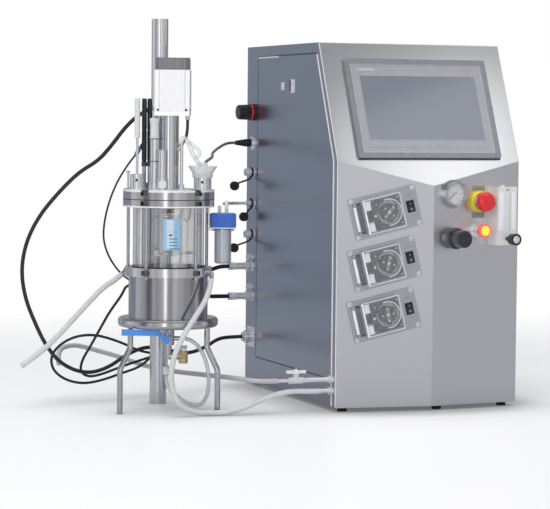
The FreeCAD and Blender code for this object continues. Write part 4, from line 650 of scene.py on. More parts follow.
def spoke(angle: float, inner: float, outer: float, half_in: float, half_out: float) -> list[Pair]:
    """The outline of a short bar that points away from the middle.

    Args:
        angle: the way it points, in radians.
        inner: where it starts, from the middle.
        outer: where it ends.
        half_in: half its width where it starts.
        half_out: half its width where it ends.

    Returns:
        Its four corners.
    """
    way, side = Vector((math.cos(angle), math.sin(angle))), Vector((-math.sin(angle), math.cos(angle)))
    corners = (way * inner - side * half_in, way * outer - side * half_out,
               way * outer + side * half_out, way * inner + side * half_in)
    return [tuple(corner) for corner in corners]


def bend(points: Sequence[Point], steps: int = 8) -> list[Point]:
    """Makes a smooth path through the middle of a few points, a quadratic spline from the first to the last.

    Args:
        points: the few points.
        steps: how many parts lie round each point.

    Returns:
        The path's points.
    """
    spots = [Vector(point) for point in points]
    knots = [spots[0]] + [(a + b) / 2 for a, b in zip(spots[1:-2], spots[2:-1])] + [spots[-1]]
    path = []
    for index, control in enumerate(spots[1:-1]):
        start, end = knots[index], knots[index + 1]
        for step in range(steps + (index == len(spots) - 3)):
            share = step / steps
            path.append(tuple(start * (1 - share) ** 2 + control * 2 * share * (1 - share) + end * share ** 2))
    return path


class Form:
    """A mesh in the making, in its seat's millimetres. Each shape that is added gives the form back."""

    def __init__(self) -> None:
        """Starts an empty mesh."""
        self.work = bmesh.new()

    def loft(self, rings: Sequence[Sequence[Point]], loop: bool = False, around: bool = True,
             caps: bool = False) -> "Form":
        """Joins rings of points with faces.

        Args:
            rings: the rings, all with the same number of points.
            loop: joins the last ring to the first.
            around: joins each ring's last point to its first.
            caps: closes the first and the last ring.

        Returns:
            The form.
        """
        rows = [[self.work.verts.new([part * MM for part in point]) for point in ring] for ring in rings]
        for row in (rows[0], rows[-1]) if caps else ():
            self.work.faces.new(row)
        for first, second in zip(rows, rows[1:] + rows[:1] * loop):
            for low in range(len(first) - (not around)):
                high = (low + 1) % len(first)
                self.work.faces.new((first[low], first[high], second[high], second[low]))
        return self

    def turned(self, profile: Sequence[Pair], steps: int = 48, centre: Pair = (0.0, 0.0), closed: bool = False,
               sweep: float = 360.0, start: float = 0.0) -> "Form":
        """Adds a turned form round an upright axis.

        Args:
            profile: radius and height pairs.
            steps: faces round it.
            centre: where the axis stands.
            closed: joins the last pair to the first.
            sweep: how far round it goes, in degrees.
            start: the angle it starts from, in degrees.

        Returns:
            The form.
        """
        whole = sweep >= 360.0
        rings = []
        for index in range(steps + (not whole)):
            angle = math.radians(start + sweep * index / steps)
            across, up = math.cos(angle), math.sin(angle)
            rings.append([(centre[0] + radius * across, centre[1] + radius * up, z) for radius, z in profile])
        return self.loft(rings, whole, closed)

    def slab(self, outline: Sequence[Pair], z: Pair) -> "Form":
        """Adds a flat plate with the given outline."""
        return self.loft([[(x, y, height) for x, y in outline] for height in z], caps=True)

    def plate(self, x: Pair, y: Pair, radius: float, z: Pair) -> "Form":
        """Adds a flat plate with rounded corners."""
        return self.slab(rounded(x, y, radius), z)

    def block(self, x: Pair, y: Pair, z: Pair) -> "Form":
        """Adds an upright block between pairs of limits."""
        return self.slab([(x[0], y[0]), (x[1], y[0]), (x[1], y[1]), (x[0], y[1])], z)

    def frame(self, half: Pair, centre: Pair, width: float, z: Pair, radius: float) -> "Form":
        """Adds a raised rectangular rim.

        Args:
            half: half its width and half its height.
            centre: its middle.
            width: how wide the rim is.
            z: the heights it lies between.
            radius: its outer corners' radius.

        Returns:
            The form.
        """
        outer, inner = (rounded(*((middle - side + trim, middle + side - trim) for middle, side in zip(centre, half)),
                                corner) for trim, corner in ((0.0, radius), (width, max(radius - width, 0.2))))
        return self.loft([[(x, y, height) for x, y in line]
                          for line, height in ((outer, z[0]), (outer, z[1]), (inner, z[1]), (inner, z[0]))], True)

    def hexagon(self, across: float, z: Pair, centre: Pair = (0.0, 0.0), turn: float = 0.0) -> "Form":
        """Adds a hexagon nut with chamfered ends.

        Args:
            across: its width between two flats.
            z: the heights it lies between.
            centre: where it stands.
            turn: how far it is turned, in degrees.

        Returns:
            The form.
        """
        corner, trim = across / math.sqrt(3.0), 0.6
        angles = [math.radians(60 * step + turn) for step in range(6)]
        return self.loft([[(centre[0] + radius * math.cos(angle), centre[1] + radius * math.sin(angle), height)
                           for angle in angles]
                          for radius, height in ((corner - trim, z[0]), (corner, z[0] + trim), (corner, z[1] - trim),
                                                 (corner - trim, z[1]))], caps=True)

    def tube(self, path: Sequence[Point], radius: float, sides: int = 16) -> "Form":
        """Adds a round bar along a path, with closed ends.

        Args:
            path: the points it follows.
            radius: its radius.
            sides: faces round it.

        Returns:
            The form.
        """
        points = [Vector(point) for point in path]
        rings, side = [], None
        for index, point in enumerate(points):
            way = (points[min(index + 1, len(points) - 1)] - points[max(index - 1, 0)]).normalized()
            if side is None:
                side = way.orthogonal().normalized()
            side = (side - way * side.dot(way)).normalized()
            other = way.cross(side)
            angles = [math.tau * step / sides for step in range(sides)]
            rings.append([point + side * radius * math.cos(angle) + other * radius * math.sin(angle)
                          for angle in angles])
        return self.loft(rings, caps=True)

    def piece(self, name: str, at: Matrix, finish: Metal | Moulding | Clear, body: str = "base",
              slot: str | None = None, bevel: float = 0.0, smooth_angle: float = 38.0) -> None:
        """Makes the form one piece of the machine.

        Args:
            name: the piece's name.
            at: its seat.
            finish: its finish.
            body: the body it rides on.
            slot: the record's slot, when it isn't the finish's usual one; not used.
            bevel: width of a bevel on its sharp edges, in metres.
            smooth_angle: faces that meet at less than this are smooth, in degrees.
        """
        bmesh.ops.remove_doubles(self.work, verts=self.work.verts, dist=1e-7)
        bmesh.ops.recalc_face_normals(self.work, faces=self.work.faces)
        data = bpy.data.meshes.new(name)
        self.work.to_mesh(data)
        self.work.free()
        data.materials.append(made(finish))
        data.shade_smooth()
        data.set_sharp_from_angle(angle=math.radians(smooth_angle))
        piece = put(name, data)
        piece.matrix_world = at
        if bevel:
            rounding = piece.modifiers.new("edge_rounding", "BEVEL")
            rounding.width, rounding.segments = bevel, 2
            rounding.limit_method, rounding.angle_limit = "ANGLE", math.radians(35)
        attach(piece, body)
        LOG.info("%s rides on %s", name, body)


# ---------------------------------------------------------------- studio
MIRRORED_SKY = (  # what metal mirrors, by degrees round the machine: a colour, or one number for a cool grey
    (-180, (0.30, 0.31, 0.34)), (-155, (0.34, 0.37, 0.42)), (-138, (0.27, 0.31, 0.38)), (-122, (0.28, 0.32, 0.39)),
    (-110, (0.42, 0.44, 0.48)), (-99, 0.68), (-87, 0.58), (-68, 0.42), (-59, 0.16), (-49, 0.18), (-40, 0.60),
    (-31, 0.40), (-16, 0.60), (-10, 0.75), (-7.5, (1.9, 1.9, 1.9)), (-3, (1.9, 1.9, 1.9)), (0, 0.65), (9, 0.34),
    (16, 0.60), (22, 0.80), (33, 0.56), (45, 0.56), (56, 0.36), (64, 0.44), (74, 0.24), (86, 0.34), (96, 0.66),
    (110, 0.42), (126, 0.18), (142, 0.10), (162, (0.20, 0.21, 0.23)), (180, (0.30, 0.31, 0.34)))


@dataclass
class Studio:
    """The camera, the pale floor and the soft light."""

    eye: Point = (-1717.83, -4235.99, 592.45)
    yaw: float = 0.3579
    pitch: float = -0.0601
    roll: float = 0.0092
    lens: float = 149.7
    shadow_reach: float = 0.11
    shadow_depth: float = 1.5
    shadow_least: float = 0.55
    sun_width: float = 50.0

    def camera(self) -> None:
        """Sets the camera where the machine is seen from its front left."""
        forward = Vector((math.sin(self.yaw) * math.cos(self.pitch), math.cos(self.yaw) * math.cos(self.pitch),
                          math.sin(self.pitch)))
        right = Vector((math.cos(self.yaw), -math.sin(self.yaw), 0.0))
        up = right.cross(forward)
        axes = (right * math.cos(self.roll) + up * math.sin(self.roll),
                up * math.cos(self.roll) - right * math.sin(self.roll), -forward)
        data = bpy.data.cameras.new("camera")
        data.lens, data.sensor_width, data.clip_start, data.clip_end = self.lens, 36.0, 0.1, 60.0
        camera = bpy.context.scene.camera = put("camera", data)
        spot = Matrix.Translation(Vector(placed([self.eye])[0]) * MM)
        camera.matrix_world = spot @ Matrix(axes).transposed().to_4x4()

    def floor(self) -> None:
        """Lays a plain pale floor that the machine stands on, with painted shade: ambient occlusion darkens its colour
        and glow near the machine.
        """
        material, wiring, shader = open_material("pale_floor")
        mirrored = wiring.add("ShaderNodeLightPath").outputs["Is Glossy Ray"]
        # painted shade: the floor's colour and glow darken where ambient occlusion finds it closed in
        near = wiring.fill(wiring.add("ShaderNodeAmbientOcclusion", samples=12), Distance=self.shadow_reach)
        shadow = wiring.math("MAXIMUM", wiring.math("POWER", near.outputs["AO"], self.shadow_depth), self.shadow_least)
        base = wiring.blend(mirrored, (0.72, 0.72, 0.725), (0.36, 0.37, 0.40))
        glow = wiring.blend(mirrored, WHITE, (0.18, 0.18, 0.20))
        distance = wiring.vector("LENGTH", wiring.place())
        wiring.fill(shader, Base_Color=wiring.blend(shadow, (0.20, 0.20, 0.21), base), Emission_Strength=0.24,
                    Emission_Color=wiring.blend(shadow, BLACK, glow), Specular_IOR_Level=0.12,
                    Roughness=wiring.spread(wiring.noise(wiring.place(), 0.8, 2.0), 0.3, 0.7, 0.30, 0.36),
                    Alpha=wiring.spread(distance, 1.1, 2.6, 1.0, 0.0, smooth=True))
        data = bpy.data.meshes.new("floor")
        data.from_pydata([(x * FAR, y * FAR, 0) for x, y in ((-1, -1), (1, -1), (1, 1), (-1, 1))], [], [(0, 1, 2, 3)])
        data.materials.append(material)
        put("floor", data)

    def sky(self) -> None:
        """Makes the studio's surroundings: white to look at, and soft bright and dark fields for metal to mirror."""
        world = bpy.context.scene.world = bpy.data.worlds.new("studio")
        world.use_nodes = True
        wiring = Wiring(world.node_tree)
        way = wiring.add("ShaderNodeTexCoord").outputs["Generated"]
        ahead = Vector((-math.sin(self.yaw), -math.cos(self.yaw), 0.0))
        aside = Vector((math.cos(self.yaw), -math.sin(self.yaw), 0.0))
        angle = wiring.math("ARCTAN2", *(wiring.vector("DOT_PRODUCT", way, axis) for axis in (aside, ahead)))
        ramp = wiring.add("ShaderNodeValToRGB")
        wiring.feed(ramp.inputs[0], wiring.spread(angle, -math.pi, math.pi))
        stops = ramp.color_ramp.elements
        for degrees, _ in MIRRORED_SKY[1:-1]:
            stops.new((degrees + 180.0) / 360.0)
        for stop, (degrees, tone) in zip(stops, MIRRORED_SKY):
            stop.color = (*(tone if isinstance(tone, tuple) else (tone, tone, tone + 0.02)), 1.0)
        height = wiring.parts(way)[2]
        around = ramp.outputs[0]
        for low, high, share, colour in ((0.22, 0.55, 0.8, (0.17, 0.175, 0.19)), (0.80, 0.98, 1.0, (0.80, 0.80, 0.82)),
                                         (-0.15, -0.6, 1.0, (0.40, 0.41, 0.44))):
            amount = wiring.math("MULTIPLY", wiring.spread(height, low, high, smooth=True), share)
            around = wiring.blend(amount, around, colour)
        seen = wiring.fill(wiring.add("ShaderNodeBackground"), Color=WHITE)
        lit = wiring.fill(wiring.add("ShaderNodeBackground"), Color=around)
        mix = wiring.add("ShaderNodeMixShader")
        for socket, source in zip(mix.inputs, (wiring.add("ShaderNodeLightPath").outputs["Is Camera Ray"],
                                               lit.outputs[0], seen.outputs[0])):
            wiring.feed(socket, source)
        wiring.fill(wiring.add("ShaderNodeOutputWorld"), Surface=mix.outputs[0])

    def lamp(self, name: str, kind: str, at: Point, towards: Point, mirrored: bool, **settings: object) -> None:
        """Hangs one lamp.

        Args:
            name: the lamp's name.
            kind: SUN or AREA.
            at: where it hangs, in metres.
            towards: the point it faces.
            mirrored: whether metal mirrors it.
            settings: its size and strength.
        """
        data = bpy.data.lights.new(name, kind)
        for key, value in settings.items():
            setattr(data, key, value)
        lamp = put(name, data)
        lamp.location = at
        lamp.visible_glossy, lamp.visible_camera = mirrored, False
        lamp.rotation_euler = (Vector(towards) - Vector(at)).to_track_quat("-Z", "Y").to_euler()

    def build(self) -> None:
        """Sets up the whole studio."""
        self.camera()
        self.floor()
        self.sky()
        self.lamp("overhead", "SUN", (-0.05, 0.02, 1.0), BLACK, False, energy=1.75, angle=math.radians(self.sun_width))
        self.lamp("left_box", "AREA", (-2.6, -2.6, 1.9), (-0.2, 0.1, 0.4), False, shape="RECTANGLE", size=1.8,
                  size_y=2.2, energy=46.0)
        self.lamp("slope_box", "AREA", (0.58, -0.60, 1.08), (0.24, -0.02, 0.50), True, shape="RECTANGLE", size=0.42,
                  size_y=0.42, energy=0.74)
        view = bpy.context.scene.view_settings
        view.view_transform, view.look, view.exposure, view.gamma = "Standard", "None", 0.0, 1.0


# ---------------------------------------------------------------- cables and hoses
@dataclass(frozen=True)
class Cord:
    """One cable or hose.

    Attributes:
        name: its name, which is its solid's too.
        diameter: in millimetres.
        length: its real length in millimetres; not used.
        route: the points it follows, from the cabinet's corner, in millimetres.
        colour: its colour.
        roughness: how rough it is.
        slot: the record's slot; not used.
        body: how much of it is seen face on when it is clear, or 1 when it isn't.
        far_end: what its far end is; not used.
        stiffness: how stiff it is; not used.
        lay: how it lies; not used.
    """

    name: str
    diameter: float
    length: float
    route: tuple[Point, ...]
    colour: Colour
    roughness: float
    slot: str
    body: float = 1.0
    far_end: str = "object"
    stiffness: str = "medium"
    lay: str = "loose"

    def finish(self) -> Moulding | Clear:
        """What it is made of.

        Returns:
            A clear finish, or a jacket's.
        """
        if self.body < 1.0:
            return Clear(self.name + "_wall", self.colour, self.body, 0.95, (0.55, 0.58, 0.6), self.roughness, 0.05,
                         1.3)
        return Moulding(self.name + "_jacket", self.colour, self.roughness, 0.02, 0.35, grain=900.0)

    def build(self) -> None:
        data = bpy.data.curves.new(self.name + "_line", "CURVE")
        data.dimensions = "3D"
        data.bevel_depth, data.bevel_resolution = self.diameter * MM / 2, 5
        data.resolution_u, data.use_fill_caps = 10, True
        spline = data.splines.new("NURBS")
        spline.points.add(len(self.route) - 1)
        route = [Vector(spot) * MM for spot in placed(self.route)]
        for point, spot in zip(spline.points, route):
            point.co = (*spot, 1.0)
        spline.order_u, spline.use_endpoint_u = 3, True
        data.materials.append(made(self.finish()))
        piece = put(self.name + "_line", data)
        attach(piece, "base")
        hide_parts(self.name)
        LOG.info("%s laid", self.name)


CORDS = (
    Cord("motor_cable", 8, 1191, (
        (-336.5, 182.5, 607), (-350, 195.9, 598.3), (-377.8, 205.4, 574.5), (-414, 207.2, 527.1),
        (-440.6, 204.3, 499.8), (-478.7, 205, 478.4), (-518, 220, 435.8), (-553.2, 235, 389.1), (-576.1, 250, 336.2),
        (-583.2, 262, 278.9), (-572.7, 270, 221.3), (-550.5, 275, 169.5), (-526, 280, 121.4), (-490, 288, 80.5),
        (-435.5, 300, 59), (-382.5, 320, 67.7), (-333.9, 345, 93.1), (-280.8, 375, 105.7), (-226, 400, 93.2),
        (-172, 427, 80.4), (-120.6, 458, 91.2), (-82, 491, 105.5), (-51, 497, 108), (-24, 497, 108)),
        (0.018, 0.018, 0.021), 0.38, "black_rubber", stiffness="stiff"),
    Cord("sensor_cable", 4, 704, (
        (-361, 172.4, 527), (-369, 175.4, 514), (-381.7, 180, 497.1), (-401.6, 190, 462.7), (-416.2, 200, 422.1),
        (-422.1, 215, 381), (-419.3, 235, 343.5), (-404, 258, 311.4), (-378.8, 285, 280.6), (-346.6, 313, 254.3),
        (-307.2, 342, 238), (-261, 370, 228.9), (-212.8, 402, 227.8), (-166.9, 432, 231.3), (-125.7, 460, 242.7),
        (-97, 489, 258.5), (-76, 497, 264), (-56, 497, 264)),
        (0.02, 0.02, 0.023), 0.4, "black_rubber", lay="hanging"),
    Cord("heater_cable", 5.5, 1437, (
        (-361.2, 216.3, 248), (-370.1, 232, 248), (-372.5, 255, 224.9), (-390.5, 280, 190.2), (-406, 300, 151.6),
        (-422.9, 315, 113.2), (-437.7, 323, 85.7), (-440.5, 328, 61.3), (-422.1, 332, 48.8), (-392.6, 337, 52.6),
        (-359.9, 345, 62.3), (-325.5, 358, 70.5), (-285.1, 382, 77.4), (-268, 398, 79), (-246, 405, 81),
        (-225, 398, 83), (-213, 379, 85), (-215, 357, 87), (-231, 341, 89), (-253, 334, 91), (-280, 331, 94),
        (-315.1, 328, 101.7), (-345.9, 320, 116.9), (-378.9, 318.3, 129.5), (-414.1, 315.8, 138.9),
        (-452.8, 315.3, 136.8), (-485.2, 314, 122.2), (-505.6, 317, 98.7), (-502, 322, 69), (-475.5, 325, 46.1),
        (-433.4, 330, 34.8), (-388, 338, 40.8), (-343.1, 350, 52.8), (-301.8, 356.3, 63.5), (-273.5, 362.6, 85.4),
        (-259.4, 372.6, 122.4), (-248.3, 387.4, 159.2), (-221.8, 408, 185.7), (-180.9, 430, 197.1),
        (-135.2, 458, 199.5), (-100, 486, 199), (-76, 497, 198), (-56, 497, 198)),
        (0.016, 0.016, 0.018), 0.42, "black_rubber"),
    Cord("probe_cable", 6, 459, (
        (-246.6, 103.1, 491.2), (-240.8, 118.5, 500.8), (-221.6, 147, 506), (-203.7, 187.8, 508), (-186.3, 233, 509),
        (-168.4, 285.7, 510.5), (-150.6, 338.7, 513.5), (-129.5, 388.2, 517.5), (-108.5, 431.2, 522),
        (-89.8, 462.8, 526.5), (-78, 480, 529.8), (-66.5, 491.5, 533), (-55.5, 497, 535), (-43, 497, 535)),
        (0.13, 0.135, 0.145), 0.4, "grey_rubber", lay="hanging"),
    Cord("jacket_hose", 11, 585, (
        (-246.3, 59.9, 268.8), (-252.3, 50.6, 247.6), (-270.9, 35.1, 220.6), (-296.1, 22.1, 191.6), (-319.3, 17, 159),
        (-334.8, 18.5, 126), (-341, 21.9, 93), (-338.3, 26.2, 62), (-328.7, 29, 36), (-312, 28.1, 17), (-285, 29, 8),
        (-260.3, 26, 5.8), (-232.3, 22, 5.8), (-201.7, 19.5, 10.5), (-169, 19, 22), (-140, 17.5, 34),
        (-110, 17, 42.2), (-80, 17, 45), (-53, 17, 43), (-28, 17, 43)),
        (0.64, 0.645, 0.655), 0.28, "white_rubber"),
    Cord("open_hose", 11, 283, (
        (-388.2, 199.9, 273), (-401.8, 212.4, 257.6), (-421, 224, 244.4), (-444, 235, 217.5), (-469.2, 246, 187.6),
        (-496, 255, 155.7), (-524.7, 261, 125.3), (-553.4, 263, 102.4), (-581.7, 262, 83.9)),
        (0.64, 0.645, 0.655), 0.28, "white_rubber", far_end="bare"),
    Cord("grey_hose", 10, 699, (
        (-119, 17, 66), (-142, 17, 66), (-164.5, 24, 66.6), (-182, 41, 68.6), (-193, 66, 68.6), (-200, 98, 67.5),
        (-207.6, 137, 65.4), (-213, 178, 63.2), (-222, 219, 61.4), (-233, 260, 59.8), (-246, 301, 59),
        (-261.8, 343.8, 60.2), (-286.1, 380.2, 63.6), (-316.1, 404.2, 75.4), (-352, 410, 87.4), (-387, 412, 96.9),
        (-420, 404, 107.5), (-449, 389, 110), (-472, 367, 105.6), (-484, 342, 93), (-488.5, 318, 80)),
        (0.47, 0.48, 0.50), 0.32, "grey_rubber", far_end="bare"),
    Cord("drain_tube", 8, 290, (
        (-290.5, 122.6, 146), (-277.4, 117.7, 146), (-264.6, 111.8, 139), (-254.1, 105.8, 127.5),
        (-246.4, 100.7, 112), (-240.2, 97.4, 91), (-236.8, 97.7, 69), (-235.7, 102.1, 47.5), (-236.6, 109.9, 28.5),
        (-240.9, 121.1, 14), (-248.8, 134.2, 6.6), (-259.5, 148.4, 7.5), (-270.3, 160.9, 14), (-280.2, 172.5, 24),
        (-291.2, 183.7, 34), (-297.6, 189.3, 48.5), (-297.6, 189.3, 64.5)),
        (0.72, 0.735, 0.75), 0.15, "clear_rubber", body=0.62),
    Cord("bottle_hose", 7, 452, (
        (-200.9, 99.7, 420), (-194.9, 115.7, 420), (-185, 143.5, 417.8), (-173.4, 179.6, 414.6), (-158.9, 232, 412.2),
        (-142.5, 284.9, 410), (-122.4, 336.7, 408), (-102.7, 384.2, 406.3), (-83.6, 426.5, 405), (-68, 457, 403.8),
        (-58.5, 474.5, 403.2), (-49.5, 487, 402.8), (-39, 494.5, 402.5), (-28, 497, 402.5), (-17.5, 497, 402.5)),
        (0.90, 0.905, 0.92), 0.15, "clear_rubber", body=0.86, lay="hanging"),
    Cord("motor_lead", 6, 51, (
        (-281.1, 110.5, 585), (-281.1, 110.5, 573), (-281.7, 111.2, 560), (-284.3, 112.7, 546), (-290.9, 115.8, 536)),
        (0.02, 0.02, 0.023), 0.38, "black_rubber"),
)


# ---------------------------------------------------------------- finishes of this machine
STEEL = (0.66, 0.66, 0.675)
CHROME = (0.95, 0.952, 0.965)
NUT_GREY = (0.085, 0.085, 0.10)
# painted highlight: near-white bands along the head ring's lower edge and the head plate's top edge
PAINTED_RIM_HIGHLIGHT = (0.93, 0.93, 0.94)
# painted light: the side wall's colour grows lighter upwards, standing in for the brighter reflection near its top
SIDE_STEEL = Metal("side_steel", (0.47, 0.50, 0.56), 0.28, Brush.UPRIGHT, 0.001, 0.004, marks=0.004,
                   upward_painted_light=((0.53, 0.55, 0.585), 0.30, 0.78))
FRONT_STEEL = Metal("front_steel", (0.88, 0.88, 0.90), 0.33, Brush.UPRIGHT, 0.012, 0.018, marks=0.012)
REAR_STEEL = Metal("rear_steel", (0.50, 0.53, 0.57), 0.34, Brush.LEVEL, 0.02, 0.02)
VESSEL_STEEL = Metal("vessel_steel", STEEL, 0.13, Brush.TURNED, 0.03, 0.02, marks=0.03, slot="stainless")
TUBE_STEEL = Metal("tube_steel", (0.80, 0.80, 0.815), 0.12, Brush.TURNED, 0.03, 0.02, 0.9, 0.03)
JACKET_STEEL = Metal("jacket_steel", (0.54, 0.54, 0.555), 0.10, Brush.TURNED, 0.03, 0.02, marks=0.03,
                     patches=(Patch((0.2725, 0.30), (0.70, 0.705, 0.72), 0.9, 0.12),))
COLUMN_STEEL = Metal("column_steel", (0.94, 0.94, 0.955), 0.20, Brush.UPRIGHT, 0.03, 0.02, 0.92)
LEG_STEEL = Metal("leg_steel", (0.70, 0.70, 0.715), 0.10, Brush.CAST, 0.02, 0.015)
# painted highlight: near-white and barely metallic, standing in for the light that the edge beads, top edge line, motor
# posts and bent pipe catch
HIGHLIGHT_TRIM_STEEL = Metal("trim_steel_painted_highlight", (0.985, 0.988, 0.998), 0.16, Brush.UPRIGHT, 0.01, 0.006, 0.08)
# partly painted: real steel nuts, screws, caps, collars, sleeve and latch, made near-white and barely metallic as
# painted glints
GLINT_WHITE_STEEL = Metal("bright_nut_painted_glint", (0.97, 0.97, 0.98), 0.13, Brush.CAST, 0.01, 0.006, 0.3, edge_radius=0.0004)
WALL_METAL = Metal("wall_metal", CHROME, 0.11, Brush.CAST, 0.015, 0.01, 0.62, edge_radius=0.0005,
                   patches=(Patch((0.583, 0.621), (0.035, 0.033, 0.036), 0.3, 0.3),))
PANEL_CHROME = Metal("panel_chrome", CHROME, 0.12, Brush.CAST, 0.015, 0.01, 0.4, edge_radius=0.0005,
                     patches=(Patch((0.328, 0.372), (0.34, 0.345, 0.36), 0.95, 0.14, (0.192, 0.248)),
                              Patch((0.408, 0.471), (0.60, 0.605, 0.62), 0.92, 0.13, (0.192, 0.250))))
GAUGE_RIM = Metal("gauge_rim", (0.66, 0.665, 0.68), 0.10, Brush.CAST, 0.01, 0.006, edge_radius=0.0003)
FITTING_CHROME = Metal("fitting_chrome", (0.90, 0.905, 0.92), 0.12, Brush.CAST, 0.02, 0.01, 0.55, edge_radius=0.0005)
MOTOR_STEEL = Metal("motor_steel", (0.99, 0.99, 0.995), 0.26, Brush.UPRIGHT, 0.01, 0.006, 0.06,
                    patches=(Patch((0.684, 0.72), (0.20, 0.195, 0.21), 0.2, 0.30),))
PLATE_ALUMINIUM = Metal("plate_aluminium", (0.62, 0.625, 0.645), 0.36, Brush.CAST, 0.04, 0.02)
ROTOR_ALUMINIUM = Metal("rotor_aluminium", (0.12, 0.125, 0.135), 0.22, Brush.CAST, 0.03, 0.02)
CAP_GREY = Metal("cap_grey", (0.26, 0.255, 0.275), 0.30, Brush.CAST, 0.03, 0.02, 0.3, slot="aluminium")
DARK_PLATE = Metal("dark_plate", (0.10, 0.103, 0.115), 0.24, Brush.CAST, 0.03, 0.02, 0.7, slot="aluminium")
BRASS = Metal("valve_brass", (0.80, 0.60, 0.26), 0.24, Brush.TURNED, 0.03, 0.02, 0.8)
BOARD_STEEL = Metal("board_steel", (0.45, 0.47, 0.50), 0.40, Brush.CAST, 0.05, 0.03)
ROD_STEEL = Metal("rod_steel", STEEL, 0.14, Brush.TURNED, 0.04, 0.02, patches=tuple(
    Patch(z, NUT_GREY, 0.6, 0.30) for z in ((0.2765, 0.2865), (0.4145, 0.4245), (0.4345, 0.4475))))
# partly painted highlight: below the lid, inside the glass, the real tubes are near-white and barely metallic, standing
# in for their bright highlights
HEAD_STEEL = Metal("head_steel", (0.88, 0.88, 0.895), 0.15, Brush.TURNED, 0.03, 0.015, 0.8,
                   patches=(Patch((0.548, 0.629), (0.74, 0.75, 0.77), 0.0, 0.4, (-FAR, -0.36)),
                            Patch((0.20, 0.4105), (0.97, 0.972, 0.98), 0.25, 0.14)))
# painted highlight: a near-white band along the ring's lower edge
RING_STEEL = Metal("head_ring_steel", STEEL, 0.13, Brush.TURNED, 0.03, 0.02,
                   patches=(Patch((0.4105, 0.4142), PAINTED_RIM_HIGHLIGHT, 0.25, 0.2),))
VALVE_STEEL = Metal("valve_steel", STEEL, 0.16, Brush.CAST, 0.04, 0.02)
SENSOR_STEEL = Metal("sensor_body", STEEL, 0.18, Brush.TURNED, 0.03, 0.02,
                     patches=(Patch((0.4995, 0.70), (0.022, 0.024, 0.034), 0.0, 0.32),
                              Patch((0.491, 0.4995), (0.10, 0.09, 0.26), 0.2, 0.3)))
# painted highlight: the near-white band along the plate's top edge
LID_STEEL = Metal("head_plate_steel", STEEL, 0.13, Brush.TURNED, 0.03, 0.02,
                  patches=(Patch((0.397, 0.4105), (0.020, 0.019, 0.021), 0.6, 0.12),
                           Patch((0.4418, 0.4465), PAINTED_RIM_HIGHLIGHT, 0.25, 0.2)))
FOOT_RUBBER = Moulding("foot_rubber", (0.012, 0.012, 0.014), 0.62, 0.3)
BLACK_RUBBER = Moulding("black_rubber", (0.012, 0.012, 0.014), 0.42, 0.15, slot="black_rubber")
BLACK_PLASTIC = Moulding("black_plastic", (0.010, 0.011, 0.016), 0.26, 0.05, 0.35)
KNOB_BLACK = Moulding("knob_black", (0.012, 0.013, 0.020), 0.15, 0.02, 0.9)
GREY_PLASTIC = Moulding("grey_plastic", (0.36, 0.362, 0.39), 0.32, 0.04, slot="grey_plastic")
FRAME_GREY = Moulding("frame_grey", (0.235, 0.238, 0.265), 0.30, 0.05, slot="grey_plastic")
LINE_GREY = Moulding("line_grey", (0.52, 0.52, 0.55), 0.25, 0.03, 0.3, "grey_plastic")
YELLOW_PLASTIC = Moulding("yellow_plastic", (0.82, 0.66, 0.02), 0.32, 0.04, 0.3)
RED_PLASTIC = Moulding("red_plastic", (0.74, 0.022, 0.032), 0.26, 0.03, 0.3, "red_plastic")
RED_RING = Moulding("red_ring", (0.84, 0.15, 0.11), 0.22, 0.02, 0.5, "red_plastic", glow=0.26)
LIT_LENS = Moulding("lit_lens", (1.0, 0.60, 0.05), 0.2, 0.03, 0.5, "lit_plastic", glow=0.65)
BLUE_PLASTIC = Moulding("blue_plastic", (0.055, 0.16, 0.56), 0.33, 0.04, 0.25, "blue_plastic")
CAP_BLUE = Moulding("cap_blue", BLUE_PLASTIC.colour, 0.33, 0.04, 0.25,
                    patches=(Patch((0.3995, 0.43), (0.78, 0.80, 0.83), 0.0, 0.2),))
LEVER_BLUE = Moulding("lever_blue", (0.05, 0.24, 0.68), 0.28, 0.04, 0.4, "blue_plastic")
WHITE_PLASTIC = Moulding("white_plastic", (0.80, 0.80, 0.81), 0.30, 0.03, 0.3, "white_plastic")
LABEL_GREEN = Moulding("label_green", (0.27, 0.33, 0.305), 0.4, 0.03, slot="grey_plastic")
LABEL_LIME = Moulding("label_lime", (0.34, 0.355, 0.21), 0.4, 0.03, slot="yellow_plastic")
DIAL_WHITE = Moulding("dial_white", (0.93, 0.93, 0.93), 0.4, 0.02, slot="white_plastic")
PRINT_BLACK = Moulding("print_black", (0.02, 0.02, 0.024), 0.5, 0.02)
GASKET = Moulding("gasket_rubber", (0.018, 0.018, 0.020), 0.5, 0.15, slot="black_rubber")
SEAM_DARK = Moulding("seam_rubber", (0.045, 0.055, 0.070), 0.4, 0.1, slot="black_rubber")
WRAP_BLUE = Moulding("wrap_blue", (0.30, 0.52, 0.72), 0.30, 0.02, 0.6, "blue_plastic")
WRAP_PALE = Moulding("wrap_pale", (0.58, 0.70, 0.82), 0.30, 0.02, 0.6, "blue_plastic")
WRAP_LINE = Moulding("wrap_line", (0.10, 0.27, 0.52), 0.35, 0.02, 0.4, "blue_plastic")
SCREEN_GLASS = Moulding("screen_glass", (0.20, 0.225, 0.265), 0.16, 0.0, 0.4, marks=0.004)
# near-white: the own colour of the tube clamps, the printed arrows and the meter's back field, and a painted highlight
# on the pump cover's left edge and hinge, the track lip and the meter's two face strips
BRIGHT_EDGE = Moulding("bright_edge", (0.88, 0.89, 0.91), 0.15, 0.01, 0.6, "white_plastic")
# painted highlight: the opaque light grey of the pump covers' rims
COVER_RIM_HIGHLIGHT = Moulding("clear_edge_painted_highlight", (0.72, 0.725, 0.74), 0.15, 0.01, 0.6, "clear_plastic")
